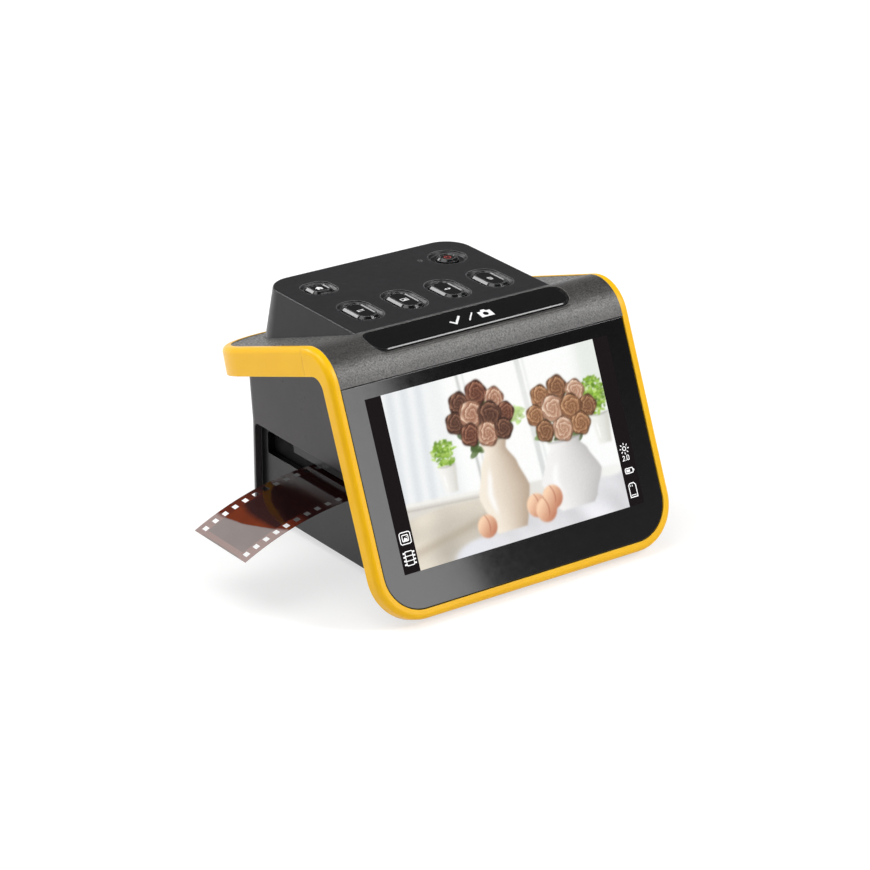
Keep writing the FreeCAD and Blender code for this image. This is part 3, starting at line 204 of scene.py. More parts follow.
def roll_plastic():
    """Sparkling grain of the rolled front panel."""
    tree = Tree("roll_grain")
    slow = tree.noise(26.0, 3.0)
    grain = tree.noise(1500.0, 6.0, 0.75)
    fleck = tree.cells(2600.0)
    base = tree.mix(tree.spread(grain, 0.0, 1.0, 0.38, 0.62), srgb(30, 29, 29), srgb(113, 111, 108))
    base = tree.mix(tree.spread(slow, 0.0, 0.35), base, srgb(50, 49, 48))
    gloss = tree.math("ADD", tree.spread(grain, 0.34, 0.24), tree.spread(fleck, -0.04, 0.06, 0.1, 0.6))
    # painted highlight: the grain is paler along the edges
    base, eased = tree.wear_and_painted_edge_highlight(base, srgb(150, 149, 146), 0.5)
    relief = tree.bump(grain, 0.00024, 0.65, eased)
    relief = tree.bump(fleck, 0.00006, 0.35, relief)
    return tree.shade(Base_Color=base, Roughness=gloss, Metallic=0.35, Normal=relief, Specular_IOR_Level=1.0)


def mosaic_plastic():
    """Etched rows of small pits in a paler net on the shoulder."""
    tree = Tree("shoulder_etch")
    grid = tree.add("ShaderNodeMapping", Vector=tree.coords, Scale=(960.0, 560.0, 0.0))
    pits = tree.add("ShaderNodeTexVoronoi", {"voronoi_dimensions": "2D"}, Vector=grid.outputs[0], Scale=1.0,
                    Randomness=0.4)
    tone = tree.add("ShaderNodeSeparateColor", Color=pits.outputs["Color"]).outputs[0]
    net = tree.spread(pits.outputs["Distance"], 0.0, 1.0, 0.30, 0.52)
    fine = tree.noise(4200.0, 4.0)
    dark = tree.mix(tone, srgb(30, 30, 31), srgb(50, 49, 50))
    pale = tree.mix(tone, srgb(112, 111, 109), srgb(138, 137, 134))
    base = tree.mix(net, dark, pale)
    # painted highlight: the etched plate is paler along the edges
    base, eased = tree.wear_and_painted_edge_highlight(base, srgb(130, 130, 128), 0.4)
    gloss = tree.math("ADD", tree.spread(net, 0.5, 0.36), tree.spread(fine, -0.04, 0.04))
    relief = tree.bump(net, 0.0001, 0.8, eased)
    relief = tree.bump(fine, 0.00003, 0.3, relief)
    return tree.shade(Base_Color=base, Roughness=gloss, Normal=relief, Specular_IOR_Level=0.5)


def tower_plastic():
    """Satin plastic of the tower, with painted shade: near black inside the slot's walls; and a painted highlight
    along its edges.
    """
    tree = Tree("tower_satin")
    slow = tree.noise(20.0, 3.0)
    grain = tree.noise(2400.0, 5.0, 0.7)
    smear = tree.noise(140.0, 3.0)
    base = tree.mix(tree.spread(slow, 0.0, 1.0), srgb(49, 45, 47), srgb(57, 53, 54))
    base = tree.mix(tree.spread(grain, 0.0, 0.3), base, srgb(38, 36, 37))
    side = tree.math("ABSOLUTE", tree.add("ShaderNodeSeparateXYZ", Vector=tree.coords).outputs[0])
    # painted shade: near black nearer the middle than the side walls' inner faces, so the inside of the slot reads
    # dark
    base = tree.mix(tree.spread(side, 1.0, 0.0, *WALL_INSIDE), base, srgb(6, 6, 7))
    gloss = tree.math("ADD", tree.spread(smear, 0.27, 0.34), tree.spread(grain, -0.03, 0.05))
    # painted highlight: the satin plastic is paler along the edges
    base, eased = tree.wear_and_painted_edge_highlight(base, srgb(120, 118, 118), 0.35)
    relief = tree.bump(grain, 0.00004, 0.35, eased)
    return tree.shade(Base_Color=base, Roughness=gloss, Normal=relief, Specular_IOR_Level=0.42)


def brushed(name, colour, roughness):
    """Metal with fine lines along X."""
    tree = Tree(name)
    stretched = tree.add("ShaderNodeMapping", Vector=tree.coords, Scale=(40.0, 2600.0, 2600.0))
    lines = tree.noise(1.0, 4.0, coords=stretched.outputs[0])
    slow = tree.noise(90.0, 3.0)
    base = tree.mix(tree.spread(slow, 0.0, 1.0), tinted(colour, 0.86), tinted(colour, 1.1))
    gloss = tree.math("ADD", tree.spread(lines, roughness - 0.1, roughness + 0.1), tree.spread(slow, -0.04, 0.04))
    return tree.shade(Base_Color=base, Roughness=gloss, Metallic=1.0, Normal=tree.bump(lines, 0.00002, 0.4))


def circuit_board():
    """Green lacquer over faint copper tracks."""
    tree = Tree("circuit_lacquer")
    tracks = tree.add("ShaderNodeTexBrick", {"offset": 0.37}, Vector=tree.coords, Scale=420.0, Mortar_Size=0.03)
    fine = tree.noise(900.0, 4.0)
    pads = tree.cells(330.0)
    base = tree.mix(tracks.outputs["Fac"], srgb(16, 78, 42), srgb(38, 118, 60))
    base = tree.mix(tree.spread(pads, 0.75, 0.0, 0.08, 0.12), base, srgb(190, 180, 120))
    gloss = tree.spread(fine, 0.24, 0.42)
    relief = tree.bump(tracks.outputs["Fac"], 0.00004, 0.5)
    return tree.shade(Base_Color=base, Roughness=gloss, Normal=relief)


def glossy_black(name, edges):
    tree = Tree(name)
    wave = tree.noise(55.0, 2.0)
    haze = tree.noise(700.0, 5.0, 0.7)
    base = tree.mix(tree.spread(haze, 0.0, 1.0), srgb(8, 8, 9), srgb(15, 15, 16))
    gloss = tree.math("ADD", tree.spread(haze, 0.08, 0.15), tree.spread(wave, -0.02, 0.02))
    # painted highlight: the black is paler along the edges, by the edge colour given
    base, eased = tree.wear_and_painted_edge_highlight(base, edges)
    relief = tree.bump(wave, 0.0002, 0.06, eased)
    return tree.shade(Base_Color=base, Roughness=gloss, Normal=relief, Specular_IOR_Level=0.5)


def cover_glass():
    """Glass with its black printed border, slightly hazy, and a painted highlight along its edges."""
    tree = Tree("printed_glass")
    haze = tree.noise(420.0, 5.0, 0.7)
    wave = tree.noise(14.0, 2.0)
    base = tree.mix(tree.spread(haze, 0.0, 1.0), srgb(9, 8, 9), srgb(14, 13, 14))
    gloss = tree.math("ADD", tree.spread(haze, 0.06, 0.09), tree.spread(wave, -0.01, 0.01))
    # painted highlight: the glass is paler along the edges
    base, eased = tree.wear_and_painted_edge_highlight(base, srgb(90, 90, 92), 0.5)
    return tree.shade(Base_Color=base, Roughness=gloss, Normal=eased, Specular_IOR_Level=0.5)


def film_plastic():
    """Clear brown film whose first frame is fogged at the tip, with an abstract negative in each frame."""
    tree = Tree("film_negative")
    parts = tree.add("ShaderNodeSeparateXYZ", Vector=tree.coords)
    x, y = (tree.math("DIVIDE", parts.outputs[axis], MM) for axis in (0, 1))
    swirl = tree.noise(46.0, 3.0, 0.6, distortion=0.6)
    ripple = tree.math("MULTIPLY", tree.math("SUBTRACT", swirl, 0.5), 2.0)
    bow = tree.math("MULTIPLY", tree.math("POWER", tree.math("ABSOLUTE", tree.math("ADD", y, 1.0)), 2.0), 0.0075)
    bent = tree.math("ADD", tree.math("SUBTRACT", x, bow), ripple)

    def past(line, slope, start, edge):
        """0 to 1 across a slanted line x = start + slope y, over an edge in millimetres."""
        level = tree.math("SUBTRACT", line, tree.math("MULTIPLY", y, slope))
        return tree.spread(level, 0.0, 1.0, start - edge, start + edge)

    tip = past(bent, -0.27, -87.5, 0.35)
    picture = tree.mix(tip, srgb(151, 141, 139), srgb(128, 54, 24))
    picture = tree.mix(past(bent, 0.05, -83.4, 1.3), picture, srgb(52, 22, 22))
    picture = tree.mix(past(bent, 0.30, -75.5, 2.4), picture, srgb(24, 9, 10))
    picture = tree.mix(tree.spread(swirl, 0.0, 0.35), picture, tree.mix(tip, srgb(166, 157, 154), srgb(40, 14, 13)))
    across = tree.math("ABSOLUTE", tree.math("SUBTRACT", y, FILM_Y))
    edge = tree.spread(across, 0.0, 1.0, 11.9, 12.4)
    frames = tree.math("FRACT", tree.math("DIVIDE", tree.math("ADD", x, FRAME_START), FRAME_PITCH))
    margin = tree.math("MAXIMUM", edge, tree.math("GREATER_THAN", frames, 0.947))
    border = tree.mix(past(bent, -0.27, -87.5, 0.8), srgb(174, 153, 149), srgb(104, 42, 24))
    border = tree.mix(past(x, 0.0, -75.0, 4.0), border, srgb(34, 14, 14))
    base = tree.mix(margin, picture, border)
    grain = tree.noise(3000.0, 4.0)
    base = tree.mix(tree.spread(grain, 0.0, 0.10), base, srgb(40, 22, 18))
    gloss = tree.spread(swirl, 0.05, 0.09)
    return tree.shade(Base_Color=base, Roughness=gloss, Alpha=0.95, Specular_IOR_Level=0.28)


def clear(name, colour, roughness):
    tree = Tree(name)
    haze = tree.noise(500.0, 4.0)
    base = tree.mix(tree.spread(haze, 0.0, 1.0), tinted(colour, 0.9), tinted(colour, 1.05))
    gloss = tree.spread(haze, roughness, roughness + 0.08)
    return tree.shade(Base_Color=base, Roughness=gloss, Transmission_Weight=0.85, IOR=1.49)


def glowing(name, colour, strength):
    tree = Tree(name)
    spots = tree.noise(900.0, 3.0)
    base = tree.mix(tree.spread(spots, 0.0, 1.0), tinted(colour, 0.92), colour)
    return tree.shade(Base_Color=base, Roughness=tree.spread(spots, 0.3, 0.45), Emission_Color=base,
                      Emission_Strength=strength)


def printed(name, colour):
    """Matt ink with a faint speckle."""
    tree = Tree(name)
    speckle = tree.noise(6000.0, 3.0)
    base = tree.mix(tree.spread(speckle, 0.0, 1.0), tinted(colour, 0.93), colour)
    return tree.shade(Base_Color=base, Roughness=tree.spread(speckle, 0.4, 0.55))


# the deck's edge colour is a painted highlight along its edges
deck_plastic = moulded("deck_satin", srgb(31, 30, 32), 0.36, 3600.0, 0.00003, spread=0.05, specular=0.42,
                       edges=srgb(176, 175, 176))
body_plastic = tower_plastic()
rubber = moulded("foot_rubber", srgb(28, 28, 28), 0.8, 1800.0, 0.00008, specular=0.3)
black_inner = moulded("inner_black", srgb(7, 7, 8), 0.65, 2600.0, 0.00006, specular=0.15)
white_inner = moulded("inner_white", srgb(232, 230, 224), 0.5, 2200.0, 0.00004, mottle=0.03)
chip = moulded("moulded_chip", srgb(24, 24, 26), 0.6, 3000.0, 0.00005)
# the buttons' edge colour is a painted highlight along their edges
gloss_black = glossy_black("polished_black", srgb(176, 176, 176))
board = circuit_board()
steel = brushed("pressed_steel", srgb(180, 180, 182), 0.35)
plated = brushed("plated_metal", srgb(196, 196, 198), 0.28)

DRESS = {
    "front_trim": yellow_plastic(), "front_fascia": roll_plastic(), "shoulder_plate": mosaic_plastic(),
    "screen_glass": cover_glass(), "control_deck": deck_plastic, "tower_shell": body_plastic,
    "back_housing": body_plastic, "base_plate": body_plastic, "base_screws": steel, "lcd_panel": chip,
    # the capture bar's edge colour is a painted highlight along its edges
    "lcd_bracket": steel, "capture_bar": glossy_black("polished_bar", srgb(104, 104, 104)),
    "status_light": clear("clear_pipe", srgb(150, 160, 150), 0.1),
    "film_channel": black_inner, "film_insert_base": black_inner, "film_insert_lid": black_inner,
    "insert_hinge_pin": steel, "film_strip": film_plastic(), "light_box": white_inner, "diffuser": white_inner,
    "light_diodes": glowing("diode_resin", srgb(240, 226, 170), 0.3), "camera_bridge": black_inner,
    "lens_barrel": black_inner, "lens_glass": clear("coated_lens", srgb(120, 140, 170), 0.02),
    "image_sensor": chip, "processor": chip, "power_socket": plated, "video_socket": plated, "card_socket": plated,
}
DRESS["rear_band"] = DRESS["front_trim"]


def dress_nodes():
    """Every CAD node gets its material: its own from DRESS, or that of its kind."""
    for name, node in nodes.items():
        found = DRESS.get(name)
        if found is None:
            found = (rubber if "rubber_foot" in name else gloss_black if "_button" in name
                     else chip if "switch" in name else board)
        node.data.materials.clear()
        node.data.materials.append(found)


# ---------------------------------------------------------------- flat shapes

def ribbon(points, width, closed=False):
    """Mitred strip along a polyline, as quads of 2-D points."""
    line = [Vector(point) for point in points]
    count = len(line)
    left, right = [], []
    for place, point in enumerate(line):
        before = line[place - 1] if place or closed else None
        after = line[(place + 1) % count] if place < count - 1 or closed else None
        first = (point - before).normalized() if before is not None else (after - point).normalized()
        second = (after - point).normalized() if after is not None else first
        sides = Vector((-first.y, first.x)), Vector((-second.y, second.x))
        mitre = sides[0] + sides[1]
        mitre = mitre / max(mitre.length_squared / 2, 0.35)
        left.append(point + mitre * width / 2)
        right.append(point - mitre * width / 2)
    quads = []
    for place in range(count if closed else count - 1):
        after = (place + 1) % count
        quads.append([right[place], right[after], left[after], left[place]])
    return quads


def arc(x, y, radius, start=0.0, end=360.0, steps=28):
    """Points on an arc, in degrees anticlockwise."""
    turns = [math.radians(start + (end - start) * step / steps) for step in range(steps + 1)]
    return [(x + radius * math.cos(turn), y + radius * math.sin(turn)) for turn in turns]


def disc(x, y, radius, steps=24):
    return [arc(x, y, radius, 0, 360, steps)[:-1]]


def rounded(x0, y0, x1, y1, radius, steps=5):
    """Outline of a rounded rectangle."""
    corners = [(x1 - radius, y0 + radius, 270), (x1 - radius, y1 - radius, 0),
               (x0 + radius, y1 - radius, 90), (x0 + radius, y0 + radius, 180)]
    outline = []
    for x, y, start in corners:
        outline += arc(x, y, radius, start, start + 90, steps)
    return outline


def flat_piece(name, faces, place, height, body, material):
    """One mesh of flat faces that lie in a tilted plane, a little above a surface."""
    vertices, polygons = [], []
    for face in faces:
        start = len(vertices)
        vertices += [place @ Vector((point[0], point[1], height)) for point in face]
        polygons.append(list(range(start, len(vertices))))
    mesh = bpy.data.meshes.new(name)
    mesh.from_pydata(vertices, [], polygons)
    mesh.materials.append(material)
    mesh.update()
    piece = bpy.data.objects.new(name, mesh)
    bpy.context.scene.collection.objects.link(piece)
    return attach(piece, body)


def moved(faces, x, y, scale=1.0):
    """Faces scaled and moved."""
    return [[(x + point[0] * scale, y + point[1] * scale) for point in face] for face in faces]


# ---------------------------------------------------------------- screen

def soft(distance, edge):
    """1 inside a shape, 0 outside it, with a soft edge."""
    return 1 / (1 + np.exp(np.clip(distance / edge, -30, 30)))


def lay(canvas, share, colour):
    """Puts a colour over the canvas by a share per point."""
    share = np.clip(share, 0, 1)[..., None]
    return canvas * (1 - share) + np.array(colour, float) * share


def waves(u, v, seed, octaves=4, scale=3.0):
    """Smooth seeded noise from sums of turned sine waves, from about -1 to 1."""
    random = np.random.default_rng(seed)
    total = np.zeros_like(u)
    weight = 1.0
    for octave in range(octaves):
        for _ in range(4):
            turn, phase = random.uniform(0, 2 * math.pi, 2)
            pitch = scale * 2 ** octave * random.uniform(0.7, 1.3)
            total += weight * np.sin(pitch * 6.28 * (u * math.cos(turn) + v * math.sin(turn)) + phase) / 4
        weight *= 0.6
    return total


def foliage(canvas, u, v, centre, radius, seed, count, tones, sizes=(0.006, 0.016)):
    """Cloud of small leaves."""
    random = np.random.default_rng(seed)
    for _ in range(count):
        turn, reach = random.uniform(0, 2 * math.pi), random.uniform(0, 1) ** 0.6
        x = centre[0] + radius[0] * reach * math.cos(turn)
        y = centre[1] + radius[1] * reach * math.sin(turn)
        size = random.uniform(*sizes)
        tilt = random.uniform(0, math.pi)
        a = (u - x) * math.cos(tilt) + (v - y) * math.sin(tilt)
        b = (v - y) * math.cos(tilt) - (u - x) * math.sin(tilt)
        colour = np.array(tones[random.integers(len(tones))]) * random.uniform(0.85, 1.12)
        canvas = lay(canvas, 0.75 * soft(np.hypot(a, b * 1.9) - size, 0.002), np.clip(colour, 0, 1))
    return canvas


def bloom(canvas, u, v, x, y, size, dark, light, turn):
    """Round flower whose petals wind out from its middle, each paler towards its rim."""
    across, upward = (u - x) * 1.49, v - y
    reach = np.hypot(across, upward) / size
    angle = np.arctan2(upward, across)
    rim = 1 + 0.06 * np.cos(5 * angle + 9 * turn)
    wobble = 0.17 * np.sin(3 * angle + 7 * turn) + 0.10 * np.sin(5 * angle - 11 * reach)
    petal = np.mod(angle / math.pi + 2.9 * reach ** 0.8 + wobble + turn, 1)
    lit = 1 - 0.25 * np.clip((across - upward) / size, -1, 1)
    share = (petal ** 1.4 * (0.35 + 0.65 * np.clip(reach, 0, 1)) * lit)[..., None]
    tone = np.clip(np.array(dark) * (1 - share) + np.array(light) * share, 0, 1)
    inside = soft(reach - rim, 0.035)[..., None]
    return canvas * (1 - inside) + tone * inside


def bouquet(canvas, u, v, places, tones, seed):
    """Flowers from the farthest to the nearest, in pairs of a dark and a light tone."""
    random = np.random.default_rng(seed)
    for number, (x, y, size) in enumerate(places):
        dark, light = tones[number % len(tones)]
        canvas = bloom(canvas, u, v, x, y, size * 1.12, [part * 0.55 for part in dark], dark, 0.0)
        canvas = bloom(canvas, u, v, x, y, size, dark, light, random.uniform(0, 1))
    return canvas


def vase(canvas, u, v, middle, top, bottom, profile, light, dark):
    """Glazed vessel shaded from its lit left side to its right, with a window's gleam on it."""
    share = np.clip((v - bottom) / (top - bottom), 0, 1)
    place = np.interp(share, [p[0] for p in profile], range(len(profile)))
    eased = np.floor(place) + np.mod(place, 1) ** 2 * (3 - 2 * np.mod(place, 1))
    half = np.interp(0.5 * place + 0.5 * eased, range(len(profile)), [p[1] for p in profile])
    side = (u - middle) / np.maximum(half, 1e-3)
    inside = (soft(np.abs(u - middle) - half, 0.0022) * soft(v - top, 0.003) * soft(bottom - v, 0.003))[..., None]
    turn = (np.clip(0.5 + 0.5 * side, 0, 1) ** 1.6)[..., None]
    tone = np.array(light) * (1 - turn) + np.array(dark) * turn
    gleam = np.exp(-((side + 0.55) / 0.12) ** 2) * soft(np.abs(share - 0.45) - 0.22, 0.03)
    tone = lay(tone, gleam * 0.8, (1.0, 1.0, 1.0))
    lip = soft(np.abs(v - top + 0.012 - 0.012 * side ** 2) - 0.006, 0.002) * soft(np.abs(side) - 1, 0.05)
    tone = lay(tone, lip * 0.35, [part * 0.6 for part in dark])
    return canvas * (1 - inside) + tone * inside


def fruit(canvas, u, v, x, y, size):
    """Peach with a blush, a cleft and a bright side."""
    across, upward = (u - x) * 1.49 / size, (v - y) / size
    inside = soft(np.hypot(across, upward) - 1, 0.04)
    glow = np.clip(0.6 - 0.4 * across + 0.4 * upward, 0, 1)[..., None]
    tone = np.array((0.74, 0.47, 0.36)) * (1 - glow) + np.array((0.98, 0.83, 0.70)) * glow
    cleft = np.exp(-((across - 0.25 + 0.35 * upward ** 2) / 0.07) ** 2) * soft(-upward - 0.5, 0.1)
    tone = lay(tone, cleft * 0.45, (0.62, 0.34, 0.27))
    return canvas * (1 - inside[..., None]) + tone * inside[..., None]


def still_life(u, v):
    """Colours, as a picture shows them, of flowers in vases and fruit by a bright window. u runs right, v up."""
    white = np.ones(u.shape + (3,))
    canvas = white * np.array([0.985, 0.99, 0.985])
    drape = 0.5 + 0.5 * np.sin(u * 95 + 2.2 * np.sin(v * 3 + 1))
    canvas = lay(canvas, soft(u - 0.17 - 0.03 * v, 0.008) * (0.35 + 0.5 * drape), (0.87, 0.885, 0.90))
    canvas = lay(canvas, soft(np.abs(u - 0.235) - 0.035, 0.012) * 0.6, (0.90, 0.915, 0.92))
    for x, wide, tone in ((0.345, 0.006, 0.74), (0.372, 0.004, 0.86), (0.628, 0.012, 0.83), (0.655, 0.005, 0.90)):
        bar = soft(np.abs(u - x - 0.02 * (1 - v)) - wide, 0.002) * 0.85
        canvas = lay(canvas, bar, (tone, tone + 0.01, tone + 0.005))
    canvas = lay(canvas, soft(0.9 - u, 0.012) * soft(0.62 - v, 0.03) * 0.75, (0.885, 0.905, 0.875))
    glow = np.exp(-((u - 0.52) / 0.22) ** 2 - ((v - 0.78) / 0.25) ** 2)
    canvas = lay(canvas, glow * 0.5, (1.0, 1.0, 0.985))
    # wall and sill under the window
    wall = soft(v - 0.36 + 0.10 * u, 0.004)
    canvas = lay(canvas, wall * soft(u - 0.75, 0.2), (0.865, 0.85, 0.82))
    for height, thick, share, colour in ((0.365, 0.010, 0.9, (0.955, 0.945, 0.92)),
                                         (0.335, 0.004, 0.7, (0.72, 0.70, 0.67))):
        ledge = soft(np.abs(v - height + 0.10 * u) - thick, 0.003) * soft(u - 0.36, 0.01) * share
        canvas = lay(canvas, ledge, colour)
    # plants in pots on the sill
    greens = [(0.50, 0.67, 0.20), (0.62, 0.78, 0.30), (0.74, 0.86, 0.45), (0.40, 0.56, 0.17)]
    canvas = vase(canvas, u, v, 0.215, 0.53, 0.37, [(0, 0.028), (1, 0.042)], (0.97, 0.965, 0.95), (0.84, 0.83, 0.80))
    canvas = foliage(canvas, u, v, (0.215, 0.595), (0.055, 0.075), 3, 130, greens)
    canvas = foliage(canvas, u, v, (0.575, 0.70), (0.035, 0.05), 8, 46, [(0.72, 0.84, 0.52), (0.80, 0.90, 0.62)])
    canvas = vase(canvas, u, v, 0.955, 0.58, 0.40, [(0, 0.03), (1, 0.045)], (0.95, 0.95, 0.93), (0.82, 0.82, 0.79))
    canvas = foliage(canvas, u, v, (0.94, 0.685), (0.065, 0.11), 5, 230, greens)
    # cushions at the lower left
    folds = waves(u, v, 21, 3, 1.6)
    cushion = soft(v - 0.255 - 0.05 * np.sin(u * 5.5 + 0.6), 0.006) * soft(u - 0.62, 0.02)
    tone = 0.80 + 0.11 * folds
    canvas = canvas * (1 - cushion[..., None]) + (tone[..., None] * np.array([1.04, 1.0, 0.93])) * cushion[..., None]
    dent = np.exp(-((v - 0.13 - 0.25 * (u - 0.15)) / 0.028) ** 2) * soft(u - 0.42, 0.03)
    canvas = lay(canvas, dent * 0.4, (0.66, 0.60, 0.52))
    canvas = lay(canvas, soft(np.hypot((u - 0.30) / 0.14, (v + 0.02) / 0.10) - 1, 0.06), (0.90, 0.905, 0.93))
    # linen along the bottom
    edge = 0.175 + 0.10 * (u - 0.55) + 0.012 * np.sin(u * 31)
    linen = soft(v - edge, 0.005) * soft(0.34 - u, 0.02)
    cloth = 0.90 + 0.07 * waves(u + 0.6 * v, v * 0.4, 33, 3, 3.2)
    canvas = canvas * (1 - linen[..., None]) + cloth[..., None] * np.array([0.985, 0.985, 1.0]) * linen[..., None]
    # flowers with their leaves, then the vessels that hold them
    leaves = [(0.33, 0.44, 0.20), (0.42, 0.55, 0.26), (0.25, 0.34, 0.17)]
    brown = [((0.30, 0.19, 0.15), (0.62, 0.45, 0.36)), ((0.36, 0.21, 0.16), (0.70, 0.50, 0.40)),
             ((0.62, 0.43, 0.34), (0.96, 0.84, 0.74))]
    tan = [((0.52, 0.35, 0.24), (0.86, 0.68, 0.52)), ((0.45, 0.30, 0.21), (0.78, 0.60, 0.45)),
           ((0.68, 0.50, 0.40), (0.98, 0.88, 0.79))]
    canvas = foliage(canvas, u, v, (0.40, 0.70), (0.125, 0.17), 41, 90, leaves, (0.015, 0.034))
    tall = [(0, 0.07), (0.12, 0.085), (0.42, 0.118), (0.7, 0.085), (0.88, 0.05), (1, 0.062)]
    canvas = vase(canvas, u, v, 0.445, 0.60, 0.07, tall, (0.97, 0.93, 0.87), (0.72, 0.64, 0.56))
    left = [(0.33, 0.84, 0.062), (0.415, 0.875, 0.066), (0.49, 0.82, 0.060), (0.295, 0.74, 0.058),
            (0.53, 0.73, 0.052), (0.375, 0.765, 0.074), (0.455, 0.735, 0.072), (0.35, 0.655, 0.060),
            (0.43, 0.635, 0.066), (0.505, 0.64, 0.056)]
    canvas = bouquet(canvas, u, v, left, brown, 12)
    canvas = foliage(canvas, u, v, (0.775, 0.62), (0.135, 0.16), 43, 90, leaves, (0.015, 0.034))
    wide = [(0, 0.08), (0.1, 0.10), (0.45, 0.145), (0.78, 0.10), (0.92, 0.07), (1, 0.082)]
    canvas = vase(canvas, u, v, 0.765, 0.49, 0.09, wide, (0.96, 0.955, 0.95), (0.76, 0.75, 0.745))
    right = [(0.70, 0.76, 0.060), (0.785, 0.785, 0.064), (0.865, 0.74, 0.060), (0.66, 0.66, 0.056),
             (0.91, 0.64, 0.056), (0.745, 0.675, 0.072), (0.83, 0.655, 0.070), (0.69, 0.56, 0.058),
             (0.775, 0.545, 0.066), (0.86, 0.55, 0.062)]
    canvas = bouquet(canvas, u, v, right, tan, 17)
    for x, y, size in ((0.655, 0.185, 0.070), (0.575, 0.165, 0.068), (0.615, 0.125, 0.072), (0.335, 0.13, 0.066)):
        canvas = fruit(canvas, u, v, x, y, size)
    speckle = np.random.default_rng(5).normal(0, 0.006, u.shape)[..., None]
    return np.clip(canvas + speckle, 0, 1)


def screen_glow():
    """Lit screen: colours from the mesh, with next to no gloss, as a lit picture looks."""
    tree = Tree("lit_picture")
    colour = tree.add("ShaderNodeVertexColor", {"layer_name": "Picture"}).outputs[0]
    dots = tree.noise(9000.0, 2.0)
    return tree.shade(Base_Color=srgb(6, 6, 7), Roughness=tree.spread(dots, 0.30, 0.36), Emission_Color=colour,
                      Emission_Strength=1.0, Specular_IOR_Level=0.08)


def unlit_black():
    """Dark strip of the display, where no picture is lit."""
    tree = Tree("screen_black")
    dots = tree.noise(9000.0, 2.0)
    base = tree.mix(tree.spread(dots, 0.0, 1.0), srgb(18, 12, 14), srgb(26, 19, 21))
    return tree.shade(Base_Color=base, Roughness=tree.spread(dots, 0.5, 0.6), Specular_IOR_Level=0.04)


def screen_picture():
    x0, x1, y0, y1 = PICTURE
    across, upward = 280, 188
    u, v = np.meshgrid(np.linspace(0, 1, across), np.linspace(0, 1, upward))
    colours = still_life(u, v)
    linear = np.where(colours <= 0.04045, colours / 12.92, ((colours + 0.055) / 1.055) ** 2.4)
    xs = (x0 + (x1 - x0) * u).ravel()
    ys = (y0 + (y1 - y0) * v).ravel()
    matrix = np.array(SCREEN)
    points = np.stack([xs, ys, np.full(xs.shape, PICTURE_HEIGHT), np.ones(xs.shape)], 1) @ matrix.T
    low = (np.arange(upward - 1)[:, None] * across + np.arange(across - 1)[None, :]).ravel()
    quads = np.stack([low, low + 1, low + across + 1, low + across], 1)
    mesh = bpy.data.meshes.new("screen_picture")
    mesh.from_pydata(points[:, :3].tolist(), [], quads.tolist())
    layer = mesh.color_attributes.new("Picture", "FLOAT_COLOR", "POINT")
    flat = np.concatenate([linear.reshape(-1, 3), np.ones((across * upward, 1))], 1).astype(np.float32)
    layer.data.foreach_set("color", flat.ravel())
    mesh.materials.append(screen_glow())
    mesh.update()
    piece = bpy.data.objects.new("screen_picture", mesh)
    bpy.context.scene.collection.objects.link(piece)
    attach(piece, "scanner_body")


